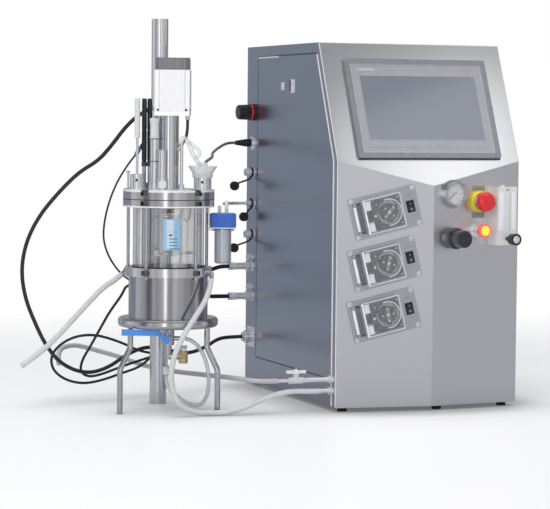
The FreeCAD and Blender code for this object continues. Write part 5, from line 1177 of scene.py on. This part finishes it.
# painted reflections: its upright light and dark stripes stand in for what the glass reflects
VESSEL_GLASS = Clear("vessel_glass", (0.70, 0.74, 0.77), 0.26, 0.92, (0.42, 0.46, 0.49), 0.05, power=3.0, mirror=0.5,
                     bands=0.17)
BOTTLE_GLASS = Clear("bottle_glass", (0.58, 0.63, 0.72), 0.42, 0.92, (0.22, 0.26, 0.34), 0.05, power=2.0, mirror=0.5)
COVER_CLEAR = Clear("cover_clear", (0.74, 0.76, 0.79), 0.07, 0.7, (0.75, 0.78, 0.8), power=2.0)
CUP_CLEAR = Clear("cup_clear", (0.90, 0.92, 0.93), 0.42, 0.9, (0.62, 0.65, 0.67), power=1.6)
BLOCK_CLEAR = Clear("block_clear", (0.985, 0.987, 0.99), 0.68, 0.8, (0.85, 0.87, 0.9), power=1.6)
LENS_CLEAR = Clear("lens_clear", (0.95, 0.96, 0.97), 0.05, 0.4, (0.8, 0.82, 0.85), slot="clear_glass")


# ---------------------------------------------------------------- cabinet
@dataclass
class Cabinet:
    """The steel case: its walls, feet, seams and the latch."""

    top: float = 745.0
    low: float = 10.0
    border: float = 25.0
    panel_low: float = 65.0
    panel_high: float = 723.0
    panel_back: float = 472.0

    def slope_y(self, z: float) -> float:
        """How far back the sloping edge is at a height."""
        return max(0.0, (z - FOLD) / (self.top - FOLD) * SLOPE_BACK)

    def edge_strip(self, name: str, start: float, width: float, proud: float, finish: Metal | Moulding,
                   top: float) -> None:
        """A rounded strip up the left wall beside the front edge, that follows the slope.

        Args:
            name: the strip's name.
            start: how far behind the front edge it starts.
            width: how wide it is.
            proud: how far it stands out of the wall.
            finish: its finish.
            top: the height it ends at.
        """
        rows = [placed((-proud * math.sin(math.pi * step / 6) ** 0.5, self.slope_y(z) + start + width * step / 6, z)
                       for step in range(7)) for z in (self.low, FOLD, top)]
        Form().loft(rows, caps=True).piece(name, WORLD, finish)

    def bars(self, proud: float, *spans: tuple[Pair, Pair]) -> Form:
        """Lays thin bars on the left wall.

        Args:
            proud: how far they stand out of it.
            spans: each bar's limits in y and in z.

        Returns:
            The bars.
        """
        form = Form()
        for y, z in spans:
            form.block(*zip(*placed([(-proud, y[0], z[0]), (-0.02, y[1], z[1])])))
        return form

    def build(self) -> None:
        """Dresses the case and adds the strips, seams and lips of the left wall and the line along the top edge: the
        near-white strips, lips and line are painted highlights, partly on real lips, and the dark strip beside the
        front edge is painted shade.
        """
        dress(cabinet_shell=SIDE_STEEL, side_panel=SIDE_STEEL, front_panel=FRONT_STEEL, rear_cover=REAR_STEEL,
              cabinet_feet=FOOT_RUBBER, control_unit=BOARD_STEEL, panel_latch=GLINT_WHITE_STEEL)
        # painted highlights: near-white beads beside the front edge and the door, standing in for their bright
        # reflections
        self.edge_strip("front_edge_bead", 1.2, 5.5, 0.9, HIGHLIGHT_TRIM_STEEL, self.top - 1)
        # painted shade: a dark strip along the corner beside the front edge
        self.edge_strip("front_edge_shade_strip", 8.2, 12.6, 0.25, FRAME_GREY, self.top - 1)
        self.edge_strip("panel_edge_bead", 21.5, 8.0, 0.8, HIGHLIGHT_TRIM_STEEL, self.panel_high - 2)
        low, high, back = self.panel_low, self.panel_high, self.panel_back
        self.bars(0.25, ((self.slope_y(high) + self.border, 345.0), (high - 1.4, high + 1.6)),
                  ((345.0, back), (high - 0.6, high + 0.8)), ((273.5, 279.0), (646.0, 669.0)),
                  ((self.border, back), (low - 1.4, low + 0.4)), ((back - 0.4, back + 0.9), (low, high))
                  ).piece("side_panel_gap", WORLD, SEAM_DARK)
        # partly painted: lips at the door's top edge and at the latch, near-white to stand in for the highlights they
        # catch
        self.bars(0.5, ((345.0, 471.0), (high - 4.2, high - 1.0)), ((309.0, 340.0), (649.5, 665.5))
                  ).piece("side_panel_lips_and_highlights", WORLD, GLINT_WHITE_STEEL, bevel=0.0001)
        # painted highlight: a near-white line along the top edge
        edge = placed((x, SLOPE_BACK - 0.2, self.top - 0.6) for x in (1.0, 399.0))
        Form().tube(edge, 0.8, 8).piece("top_edge_line", WORLD, HIGHLIGHT_TRIM_STEEL)


@dataclass
class TouchScreen:
    """The operator's screen on the sloping face, with its rims and its bare badge place."""

    half: Pair = (157.5, 110.0)
    proud: float = 7.0
    step: float = 12.0
    floor: float = 5.5
    glass_half: Pair = (128.0, 70.5)
    glass_up: float = 1.3

    def build(self) -> None:
        """Dresses the bezel and adds its rims and lines."""
        dress(hmi_bezel=GREY_PLASTIC, hmi_screen=SCREEN_GLASS)
        at = on_slope(201.5, 114.7)
        floor, (half_w, half_h), (glass_w, glass_h) = self.floor, self.half, self.glass_half
        inner_w, inner_h = half_w - self.step, half_h - self.step
        low, high = self.glass_up - glass_h, self.glass_up + glass_h
        left, right, base, peak = -glass_w - 8, glass_w + 8, low - 15, high + 17
        line = [(x, y, floor + 0.1) for x, y in ((left, peak - 6), (left, base), (right, base), (right, peak),
                                                 (-74, peak), (-82, peak - 6), (left, peak - 6))]
        Form().frame((half_w + 0.2, half_h + 0.2), (0.0, 0.0), self.step - 1.0, (0.6, self.proud + 0.35), 5.0).piece(
            "screen_outer_rim", at, FRAME_GREY, bevel=0.0008)
        Form().frame((inner_w - 0.4, inner_h - 0.4), (0.0, 0.0), 1.6, (floor - 0.2, floor + 0.6), 1.6).piece(
            "screen_step_line", at, LINE_GREY, bevel=0.0003)
        Form().tube(line, 0.8, 8).piece("screen_inner_line", at, LINE_GREY)
        Form().frame((glass_w + 1.6, glass_h + 1.6), (0.0, self.glass_up), 1.6, (floor - 0.2, floor + 0.3), 0.8).piece(
            "screen_window_lip", at, GREY_PLASTIC, bevel=0.0002)
        Form().plate((-inner_w + 17, -inner_w + 52), (high + 12.5, high + 17.0), 1.0, (floor - 0.2, floor + 0.35)
                     ).piece("badge_place", at, LINE_GREY)
        # painted shadow: a dark strip along the bezel's foot
        Form().plate((-half_w + 1, half_w - 1), (-half_h - 1.2, -half_h + 0.4), 0.6, (0.1, 3.4)).piece(
            "screen_foot_shade", at, GASKET)


# ---------------------------------------------------------------- pumps
@dataclass
class PumpHead:
    """One tube pump: plate, track, rotor, clear cover and rocker."""

    index: int
    rotor_x: float = 5.0
    pocket_r: float = 24.3
    nut: Pair = (65.5, 36.5)
    rocker_x: float = 54.0
    cover_top: float = 18.0

    def face(self) -> Form:
        """The dark face of the track block, open round the pocket, the pocket's floor and the dark fields beside it.

        Returns:
            The fields.
        """
        angles = [math.tau * step / 72 for step in range(72)]
        reaches = [min((25.8 if math.cos(angle) > 0 else 34.8) / max(abs(math.cos(angle)), 1e-6),
                       30.8 / max(abs(math.sin(angle)), 1e-6)) for angle in angles]
        inner = self.pocket_r + 0.1
        rings = [[(self.rotor_x + (inner if near else reach) * math.cos(angle),
                   (inner if near else reach) * math.sin(angle), z) for angle, reach in zip(angles, reaches)]
                 for near, z in ((False, 13.9), (False, 14.15), (True, 14.15), (True, 13.9))]
        pocket = self.pocket_r - 0.2
        return (Form().loft(rings, loop=True)
                .turned(((0, 4.3), (pocket, 4.3), (pocket, 4.05), (0, 4.05)), centre=(self.rotor_x, 0))
                .plate((-57.0, -47.2), (-32.0, 32.0), 1.0, (3.95, 4.25))
                .plate((-42.5, -30.3), (-10.5, 10.5), 1.0, (3.95, 5.0)))

    def build(self) -> None:
        """Dresses the pump and adds its small parts."""
        at, number, pocket = on_pump(self.index), self.index + 1, self.pocket_r
        name, rotor, cover = f"pump_{number}_", f"rotor_{number}", f"cover_{number}"
        dress(**{f"pump_cover_{number}": COVER_CLEAR, f"pump_rotor_{number}": ROTOR_ALUMINIUM,
                 f"pump_rocker_{number}": BLACK_PLASTIC})
        nuts, screws, clamps, caps, rules = (Form() for _ in range(5))
        for corner in ((x * self.nut[0], y * self.nut[1]) for x in (-1, 1) for y in (-1, 1)):
            nuts.turned(((0, 9.4), (1.6, 9.1), (2.9, 8.1), (3.5, 6.6), (3.6, 4.9), (4.9, 4.8), (5.0, 4.0), (0, 4.0)),
                        20, corner)
        nuts.piece(name + "dome_nuts", at, GLINT_WHITE_STEEL)
        # painted highlight: a near-white arc on the track's lip
        Form().turned(((pocket, 12.0), (pocket + 1.4, 14.9), (pocket + 3.0, 14.9), (pocket + 3.4, 13.9),
                       (pocket + 1.2, 12.0)), 40, (self.rotor_x, 0), True, 205.0, -102.0).piece(
            name + "track_lip", at, BRIGHT_EDGE, slot="clear_plastic")
        self.face().piece(name + "track_face", at, DARK_PLATE)
        # painted glints: small near-white screw heads on the dark face, placed where bright glints are
        for spot, radius in (((-24.5, -1.0), 2.7), ((-19.0, 20.5), 1.5), ((27.5, 26.5), 1.5), ((27.5, -26.5), 1.5)):
            screws.turned(((0, 15.7), (radius * 0.6, 15.6), (radius, 14.9), (radius, 14.0), (0, 14.0)), 16, spot)
        screws.piece(name + "track_glint_screws", at, GLINT_WHITE_STEEL)
        run = bend([(x, y, 9.0) for x, y in ((-60, 17.5), (-32, 17.5), (-14, 18.5), (5, 23.6), (26, 20), (28.6, 0),
                                             (26, -20), (5, -23.6), (-14, -18.5), (-32, -17.5), (-43, -17.5))], 6)
        Form().tube([spot for spot in run if spot[0] > -44], 2.0, 10).piece(
            name + "soft_tube", at, CUP_CLEAR, slot="clear_rubber")
        for low, high in ((-31.0, -12.5), (12.5, 31.0)):
            clamps.plate((-43.4, -30.2), (low, high), 1.5, (5.0, 15.1))
            clamps.plate((-41.5, -33.0), (low + 3, high - 3), 1.0, (15.0, 15.9))
        clamps.piece(name + "tube_clamps", at, BRIGHT_EDGE, bevel=0.0004)
        turn = Matrix.Rotation(math.radians(38 + 25 * self.index), 4, "Z")
        hub = at @ Matrix.Translation((self.rotor_x * MM, 0, 0)) @ turn
        Form().plate((-15.5, 15.5), (-3.6, 3.6), 3.4, (14.6, 15.6)).piece(
            name + "rotor_arm", hub, CAP_GREY, rotor, bevel=0.0003)
        # painted glints: near-white caps on the rotor's hub and rollers
        caps.turned(((0, 15.95), (2.4, 15.9), (2.9, 15.5), (2.9, 14.8), (0, 14.8)), 20)
        for pin in ((-12.0, 0.0), (12.0, 0.0), (0.0, -11.5), (0.0, 11.5)):
            caps.turned(((0, 15.9), (1.4, 15.9), (1.8, 15.5), (1.8, 14.8), (0, 14.8)), 14, pin)
        caps.piece(name + "rotor_glint_caps", hub, GLINT_WHITE_STEEL, rotor)
        # painted highlights: the clear cover's rim, left edge and hinge are opaque light grey and white
        top = self.cover_top
        Form().frame((40.1, 35.1), (-6.0, 0.0), 1.7, (top - 1.2, top + 0.3), 1.6).piece(
            name + "cover_rim", at, COVER_RIM_HIGHLIGHT, cover, bevel=0.0003)
        Form().plate((-46.2, -42.8), (-34.7, 34.7), 0.8, (top - 0.6, top + 0.45)).piece(
            name + "cover_left_edge", at, BRIGHT_EDGE, cover, "clear_plastic", 0.0002)
        Form().tube([(-62, y, 7.2) for y in (-25, -8, 8, 25)], 3.15, 20).piece(
            name + "hinge_sleeve", at, BRIGHT_EDGE, cover, "clear_plastic")
        middle = self.rocker_x
        Form().block((middle - 0.5, middle + 0.5), (3.4, 7.2), (6.7, 7.25)).turned(
            ((1.5, 6.7), (2.3, 6.7), (2.3, 7.2), (1.5, 7.2)), 20, (middle, -5.4), True).piece(
            name + "rocker_marks", at, LINE_GREY, f"rocker_{number}", "white_plastic")
        for y in (21.0, 24.0, -20.0):
            rules.block((middle - 7.5, middle + 7.5), (y, y + 0.6), (3.9, 4.1))
        rules.piece(name + "plate_rules", at, FRAME_GREY)


# ---------------------------------------------------------------- gas and safety panel
@dataclass
class GasGauge:
    """The round pressure gauge, with its dial, scale, lens and rounded rim."""

    radius: float = 22.0
    floor: float = 5.0
    zero: float = 225.0
    sweep: float = 270.0
    tick_end: float = 20.0
    number_r: float = 12.6
    number_size: float = 4.4

    def angle(self, share: float) -> float:
        """The direction of a place on the scale."""
        return math.radians(self.zero - self.sweep * share)

    def number(self, index: int, at: Matrix) -> None:
        """Adds one small plain number inside the scale.

        Args:
            index: counted from the start of the scale.
            at: the gauge's seat.
        """
        angle = self.angle(index / 6)
        data = bpy.data.curves.new(f"gauge_number_{index}", "FONT")
        data.body, data.size, data.align_x, data.align_y = str(index), self.number_size * MM, "CENTER", "CENTER"
        data.extrude = 0.1 * MM
        data.materials.append(made(PRINT_BLACK))
        text = put(f"gauge_number_{index}", data)
        spot = Vector((self.number_r * math.cos(angle), self.number_r * math.sin(angle), self.floor + 0.5))
        text.matrix_world = at @ Matrix.Translation(spot * MM)
        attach(text, "base")
        LOG.info("%s rides on base", text.name)

    def build(self) -> None:
        """Makes the gauge's parts."""
        dress(gauge_needle=BLACK_PLASTIC)
        at, face, edge = on_right(243.0, 439.5), self.floor + 0.4, self.radius - 0.1
        Form().turned(((0, face), (self.radius - 1.2, face), (edge, face + 1.0), (edge, face - 0.35),
                       (0, face - 0.35)), 64).piece("gauge_dial", at, DIAL_WHITE)
        scale = Form()
        for index in range(31):
            inner, half = (16.4, 0.42) if index % 5 == 0 else (18.0, 0.22)
            scale.slab(spoke(self.angle(index / 30), inner, self.tick_end, half, half), (face, face + 0.3))
        scale.piece("gauge_scale", at, PRINT_BLACK)
        for index in range(7):
            self.number(index, at)
        Form().turned(oval(23.6, 17.6, 1.7, 1.2), 72, closed=True).piece("gauge_rim_bead", at, GAUGE_RIM)
        Form().turned(((0, 16.6), (14, 16.1), (21.9, 15.0), (21.9, 14.2), (14, 15.3), (0, 15.8)), 64).piece(
            "gauge_lens", at, LENS_CLEAR)
        Form().turned(((0, 11.0), (1.6, 10.7), (2.6, 9.8), (2.6, 9.3), (0, 9.3)), 24).piece(
            "needle_hub", at, FITTING_CHROME, "needle")


class PushButtons:
    """The red mushroom button with its collar and bare labels, and the lit push button below it."""

    def build(self) -> None:
        """Dresses the buttons and adds their labels, rings and lens."""
        dress(estop_collar=YELLOW_PLASTIC, estop_button=RED_PLASTIC, lamp_button=RED_RING)
        stop, lamp, arrows, bars = on_right(304.0, 424.0), on_right(298.0, 366.0), Form(), Form()
        Form().turned(((11.5, 14.0), (18.0, 14.0), (18.0, 14.25), (11.5, 14.25)), closed=True).piece(
            "stop_collar_print", stop, LABEL_LIME)
        for start in (20.0, 140.0, 260.0):
            arrows.turned(((13.4, 14.2), (16.4, 14.2), (16.4, 14.45), (13.4, 14.45)), 12, closed=True, sweep=52.0,
                          start=start)
        arrows.piece("stop_collar_arrows", stop, BRIGHT_EDGE)
        for name, y, finish in (("upper", (20.5, 32.5), LABEL_LIME), ("lower", (-33.5, -21.0), LABEL_GREEN)):
            Form().plate((-15, 15), y, 2.0, (0.0, 0.5)).piece("stop_label_" + name, stop, finish)
        for y in (26.5, -27.3):
            bars.block((-9.0, 9.0), (y - 1.3, y + 1.3), (0.3, 0.65))
        bars.piece("stop_label_bars", stop, FRAME_GREY)
        # painted highlight: a near-white sleeve round the lamp's chrome barrel
        Form().turned(((11.0, 4.0), (13.0, 4.2), (12.6, 5.6), (11.35, 6.4), (11.35, 25.6), (11.0, 25.9)),
                      closed=True).piece("lamp_sleeve", lamp, GLINT_WHITE_STEEL)
        Form().turned(((10.2, 39.6), (10.6, 40.5), (13.2, 40.4), (14.2, 39.2), (14.3, 29.5), (14.05, 29.5),
                       (14.0, 38.9), (12.9, 39.6)), 56, closed=True).piece("lamp_ring", lamp, RED_RING, "lamp")
        Form().turned(((0, 42.0), (4.5, 41.7), (8.0, 41.0), (10.1, 39.9), (10.1, 39.5), (0, 39.5))).piece(
            "lamp_lens", lamp, LIT_LENS, "lamp")


@dataclass
class GasMeter:
    """The clear flow meter with its float, scale and knob."""

    x: float = 350.0
    low: float = 336.0
    high: float = 455.0
    face: float = 38.0
    knob_z: float = 349.0
    scale_low: float = 369.0
    scale_step: float = 5.0

    def build(self) -> None:
        """Dresses the block and adds its back, tube, scale and knob face."""
        dress(rotameter_block=BLOCK_CLEAR, rotameter_float=FITTING_CHROME, rotameter_knob=BLACK_PLASTIC)
        at, front, scale = on_right(self.x, 0.0), (self.face - 0.1, self.face + 0.3), Form()
        for index in range(15):
            y = self.scale_low + self.scale_step * index
            scale.block((4.6 if index % 5 else 3.4, 8.6), (y - 0.45, y + 0.45), front)
        for x, y, wide, tall in ((-3.5, 446.5, 7.0, 1.4), (-3.5, 449.0, 2.0, 2.2), (1.5, 449.0, 2.0, 2.2)):
            scale.block((x, x + wide), (y, y + tall), front)
        scale.piece("meter_scale", at, FRAME_GREY)
        field = Form().plate((-21.5, 21.5), (self.low + 2, self.high - 2), 2.0, (0.0, 0.6))
        # painted highlights: two bright upright strips on the clear block's face
        for x in ((-19.5, -9.0), (9.5, 19.0)):
            field.plate(x, (366, 444), 1.0, (self.face - 0.1, self.face + 0.25))
        field.piece("meter_white_field", at, BRIGHT_EDGE)
        lift = Matrix.Translation((0, (self.high - 0.2) * MM, 20 * MM))
        Form().turned(((0, 0), (5.0, 0), (5.4, 0.4), (5.4, 2.0), (0, 2.4)), 24).piece(
            "meter_top_plug", at @ lift @ Matrix.Rotation(-math.pi / 2, 4, "X"), FRAME_GREY)
        Form().turned(((0, 75.0), (6.4, 74.8), (7.6, 74.2), (7.6, 73.6), (0, 73.6)), 36).piece(
            "meter_knob_face", on_right(self.x, self.knob_z), FITTING_CHROME, "flow_valve")


@dataclass
class FrontPanel:
    """Everything mounted on the upright front."""

    ribs_z: Pair = (11.0, 21.8)
    ribs_r: float = 20.9

    def build(self) -> None:
        """Builds the pumps and the gas panel, and the grip ribs round the wide part of the regulator's knob."""
        dress(pump_bases=PLATE_ALUMINIUM, pump_motors=BOARD_STEEL, panel_bezels=PANEL_CHROME,
              regulator_knob=KNOB_BLACK)
        ribs = Form()
        for index in range(36):
            ribs.slab(spoke(math.tau * index / 36, self.ribs_r, self.ribs_r + 0.75, 0.7, 0.45), self.ribs_z)
        ribs.piece("regulator_ribs", on_right(242.0, 350.0), KNOB_BLACK, "regulator")
        for part in (PumpHead(0), PumpHead(1), PumpHead(2), GasGauge(), PushButtons(), GasMeter()):
            part.build()


# ---------------------------------------------------------------- left wall
@dataclass
class WallFittings:
    """The switch, sockets, plugs and the low hose fittings on the left wall."""

    line: float = 497.0
    switch_z: float = 602.0
    boots: tuple[tuple[Point, ...], ...] = (((-56, 497, 264), (-70, 497, 264), (-82, 494, 262.5), (-97, 489, 258.5)),
                                            ((-56, 497, 198), (-72, 497, 198), (-86, 492, 198.7), (-100, 486, 199)))

    def build(self) -> None:
        """Dresses the fittings and adds the switch ring, and each cable plug's knurled ring, collar and boot."""
        dress(side_fittings=WALL_METAL, socket_caps=BLACK_RUBBER, side_switch_knob=BLACK_PLASTIC,
              stopcock_handle=WHITE_PLASTIC)
        Form().turned(oval(18.0, 8.6, 1.1, 1.8), 56, closed=True).piece(
            "switch_ring", on_wall(self.line, self.switch_z), RED_PLASTIC)
        for number, boot in enumerate(self.boots, 1):
            at, flutes = on_wall(self.line, boot[0][2]), [math.tau * step / 72 for step in range(72)]
            rings = [[((radius + 0.22 * (step % 2)) * math.cos(angle), (radius + 0.22 * (step % 2)) * math.sin(angle),
                       z) for step, angle in enumerate(flutes)]
                     for radius, z in ((9.4, 4.0), (9.9, 4.8), (9.9, 15.2), (9.4, 16.0))]
            Form().loft(rings).piece(f"plug_ring_{number}", at, FITTING_CHROME, smooth_angle=20)
            Form().turned(((7.4, 40.0), (8.4, 40.4), (8.4, 46.0), (7.9, 46.6), (7.9, 47.6), (8.4, 48.2), (8.4, 53.5),
                           (7.4, 54.2)), 40, closed=True).piece(f"plug_collar_{number}", at, GLINT_WHITE_STEEL)
            Form().tube(bend(placed(boot), 6), 4.5).piece(f"plug_boot_{number}", WORLD, BLACK_RUBBER)


# ---------------------------------------------------------------- vessel
@dataclass
class Vessel:
    """The stand, jacket, glass and head of the bioreactor."""

    glass_r: float = 71.5
    motor_x: float = 7.0
    motor_half: float = 35.0
    bottle_x: float = 109.0
    grip_r: float = 25.6

    def inside(self, at: Matrix) -> None:
        """The seals at the glass, the clear tube round the stirrer with its rims, the ring and the bent pipe.

        Args:
            at: the vessel's frame.
        """
        for name, low, high, inner, outer in (("head_gasket", 425.2, 427.9, 91.2, 91.75),
                                              ("glass_seal_high", 409.6, 411.2, 71.8, 73.4),
                                              ("glass_seal_low", 290.8, 292.4, 71.8, 73.4)):
            Form().turned(((inner, low), (outer - 0.4, low), (outer, (low + high) / 2), (outer - 0.4, high),
                           (inner, high)), 96, closed=True).piece(name, at, GASKET)
        centre = (-4, 0)
        Form().turned(((26.0, 322), (27.0, 322), (27.0, 390), (26.0, 390)), 56, centre, True).piece(
            "draft_tube", at, CUP_CLEAR)
        for name, low in (("draft_rim_high", 389.0), ("draft_rim_low", 327.0)):
            Form().turned(((25.7, low), (27.6, low), (27.8, low + 1.2), (27.6, low + 2.4), (25.7, low + 2.4)), 56,
                          centre, True).piece(name, at, FRAME_GREY, slot="stainless")
        Form().turned(((49.0, 317.5), (52.0, 317.5), (52.0, 319.5), (49.0, 319.5)), 72, closed=True).piece(
            "baffle_ring", at, VESSEL_STEEL)
        # partly painted: a real bent pipe in a near-white finish that stands in for its highlight
        pipe = bend([(30, -30, 426), (30, -30, 396), (33, -31, 384), (41, -32, 384), (45, -33, 398), (47, -33, 426)])
        Form().tube(pipe, 2.1, 14).piece("bent_pipe", at, HIGHLIGHT_TRIM_STEEL, slot="stainless")

    def wrap(self, at: Matrix) -> None:
        """The bare pale-blue field stuck on the glass, with plain lines and no print.

        Args:
            at: the vessel's frame.
        """
        lines = [(f"_line_{index + 1}", (z, z + 2.4), (-86, -69.5 - index), 0.32, WRAP_LINE)
                 for index, z in enumerate((329, 335.5, 342, 348.5))]
        for name, z, (start, end), out, finish in (("", (327, 389), (-96, -68), 0.22, WRAP_BLUE),
                                                   ("_pale", (330, 387), (-90, -79), 0.27, WRAP_PALE),
                                                   ("_dot", (355.5, 358.5), (-86.5, -82), 0.34, PRINT_BLACK), *lines):
            inner, outer = self.glass_r + 0.02, self.glass_r + out
            Form().turned(((inner, z[0]), (outer, z[0]), (outer, z[1]), (inner, z[1])), 16, closed=True,
                          sweep=end - start, start=start).piece("glass_field" + name, at, finish)

    def head(self, at: Matrix) -> None:
        """Adds the set screws, white hexagon, condenser's bands, sensor sleeves, branch tube and plug.

        Args:
            at: the vessel's frame.
        """
        upright = Matrix.Rotation(math.radians(90), 4, "X")
        for name, x, radius, z in (("left_port_screw", -63, 14.5, 464.0), ("right_port_screw", 68, 17.5, 461.0)):
            Form().turned(((0, radius + 0.5), (1.6, radius + 0.6), (2.7, radius + 0.2), (2.9, radius - 0.8),
                           (0, radius - 0.8)), 20).piece(name, on_vessel(x, -12, z) @ upright, GASKET,
                                                         slot="black_plastic")
        Form().hexagon(16.0, (9.0, 12.5), turn=30.0).piece(
            "front_port_hexagon", on_vessel(-11, -34, 456) @ upright, WHITE_PLASTIC)
        bands, sleeves = Form(), Form()
        for low, high in ((579.0, 583.0), (545.5, 548.5), (500.0, 503.0)):
            bands.turned(((9.0, low), (9.5, low + 0.3), (9.5, high - 0.3), (9.0, high)), 32, (-28, -15))
        bands.piece("filter_bands", at, FRAME_GREY)
        for centre in ((-51.0, 22.0), (-40.5, 28.0)):
            sleeves.turned(((4.0, 503.0), (5.0, 504.0), (5.1, 560.0), (4.7, 562.0), (4.7, 565.0), (5.1, 567.0),
                            (5.0, 622.0), (4.0, 625.5)), 28, centre, True)
        sleeves.piece("sensor_sleeves", at, BLACK_PLASTIC, slot="black_rubber")
        branch = [(26, -24, 538), (26, -24, 549), (34, -24, 549), (43, -24, 532), (50, -24, 512), (60, -22, 500),
                  (64, -20, 488)]
        arm = [(38, -24, 541), (50, -24, 534), (62, -24, 524), (62, -24, 512), (52, -24, 508)]
        for name, path, radius in (("branch_tube", branch, 4.4), ("branch_arm", arm, 3.4)):
            Form().tube(bend(path), radius).piece(name, at, CUP_CLEAR, slot="clear_rubber")
        Form().turned(((0, 500), (7.5, 500), (9.5, 498), (9.5, 486), (0, 486)), 32, (68, -12)).piece(
            "probe_gland", at, WHITE_PLASTIC)
        plug = placed(((-360.6, 172.2, 528.5), (-364.4, 173.7, 521.4), (-369, 175.4, 513.5)))
        Form().tube(plug, 4.3).piece("sensor_plug", WORLD, LEVER_BLUE)

    def on_faces(self, spots: Iterable[float], half_wide: float, reach: Pair, z: Pair) -> Form:
        """Blocks on the motor's four faces.

        Args:
            spots: where they stand along each face.
            half_wide: half a block's width.
            reach: where a block starts and ends, away from the motor's middle.
            z: the heights it lies between.

        Returns:
            The blocks.
        """
        form = Form()
        for spot in spots:
            across = (spot - half_wide, spot + half_wide)
            for span in (reach, (-reach[1], -reach[0])):
                form.block(across, span, z).block(span, across, z)
        return form

    def motor(self, at: Matrix) -> None:
        """The motor's bright corner posts, its dark screws and the cap's upright ribs.

        Args:
            at: the motor's frame.
        """
        half, cap = self.motor_half, self.motor_half - 1.5
        # partly painted: real corner posts in a near-white finish that stands in for their highlights
        self.on_faces((5.0 - half, half - 5.0), 4.0, (half, half + 0.5), (607.0, 683.0)).piece(
            "motor_posts", at, HIGHLIGHT_TRIM_STEEL, bevel=0.0004)
        self.on_faces((7.0 - half, half - 7.0), 2.2, (half, half + 0.6), (602.5, 606.0)).piece(
            "motor_screws", at, GASKET, slot="black_plastic", bevel=0.0004)
        ribs = (step * 4.1 for step in range(-6, 7) if abs(step) != 5)
        self.on_faces(ribs, 0.8, (cap - 0.2, cap + 0.7), (686.5, 705.5)).piece(
            "motor_cap_ribs", at, CAP_GREY, slot="grey_plastic", bevel=0.0003)

    def drain(self, at: Matrix) -> None:
        """The brass body and cross stem of the side tee, and the white nut on the overflow tube.

        Args:
            at: the vessel's frame.
        """
        Form().turned(((8.6, 97.0), (9.4, 97.8), (9.4, 108.0), (9.0, 108.6), (9.4, 109.2), (9.4, 118.6), (8.6, 119.4)),
                      40, (31, 0)).piece("side_tee_brass", at, BRASS)
        Form().hexagon(12.0, (120.5, 127.0), (31, 0), 12.0).tube([(x, 0, 129.0) for x in (22.5, 31, 39.5)], 2.6, 14
                                                                 ).piece("side_tee_stem", at, GLINT_WHITE_STEEL, bevel=0.0003)
        Form().turned(((5.8, 66.0), (6.6, 66.8), (6.6, 73.0), (6.1, 73.6), (6.1, 75.0), (6.6, 75.6), (6.6, 81.5),
                       (5.8, 82.5)), 32, (-6, 60)).piece("overflow_nut", at, WHITE_PLASTIC)

    def bottle(self, at: Matrix) -> None:
        """The grip ribs and foot ring of the bottle's cap and its two clear hose tubes.

        Args:
            at: the bottle's frame.
        """
        grip = Form()
        for step in range(40):
            angle = math.tau * (step + 0.5) / 40
            across, up = self.grip_r * math.cos(angle), self.grip_r * math.sin(angle)
            grip.tube([(across, up, z) for z in (373.0, 397.0)], 1.15, 8)
        grip.piece("cap_grip", at, BLUE_PLASTIC)
        for name, path in (("cap_stub_sleeve", [(-7, 0, 399.0), (-7, 0, 413.8)]),
                           ("cap_elbow_sleeve", bend([(7, 0, 399.0), (7, 0, 420), (7, 9.5, 420)], 10))):
            Form().tube(path, 3.5).piece(name, at, CUP_CLEAR)
        Form().turned(((22.0, 368.6), (26.4, 368.6), (26.6, 369.6), (26.4, 371.0), (22.0, 371.0)), 56,
                      closed=True).piece("cap_foot_ring", at, WRAP_PALE)

    def build(self) -> None:
        """Dresses the vessel and adds its small parts."""
        dress(vessel_stand=LEG_STEEL, column=COLUMN_STEEL, jacket=JACKET_STEEL, glass_cylinder=VESSEL_GLASS,
              head_ring=RING_STEEL, head_plate=LID_STEEL, tie_rods=ROD_STEEL, motor_tube=TUBE_STEEL,
              motor=MOTOR_STEEL, head_fittings=HEAD_STEEL, sensors=SENSOR_STEEL, port_cover=CUP_CLEAR,
              ball_valve=VALVE_STEEL, agitator=TUBE_STEEL, ball_valve_lever=LEVER_BLUE, bottle=BOTTLE_GLASS,
              bottle_cap=CAP_BLUE)
        at = on_vessel()
        self.inside(at)
        self.wrap(at)
        self.head(at)
        self.motor(on_vessel(self.motor_x))
        self.drain(at)
        self.bottle(on_vessel(self.bottle_x))


def main() -> None:
    """Builds the studio and each sub-assembly in order."""
    logging.basicConfig(level=logging.INFO, format="%(message)s")
    for part in (Studio(), *CORDS, Cabinet(), TouchScreen(), FrontPanel(), WallFittings(), Vessel()):
        part.build()


if __name__ == "__main__":
    main()
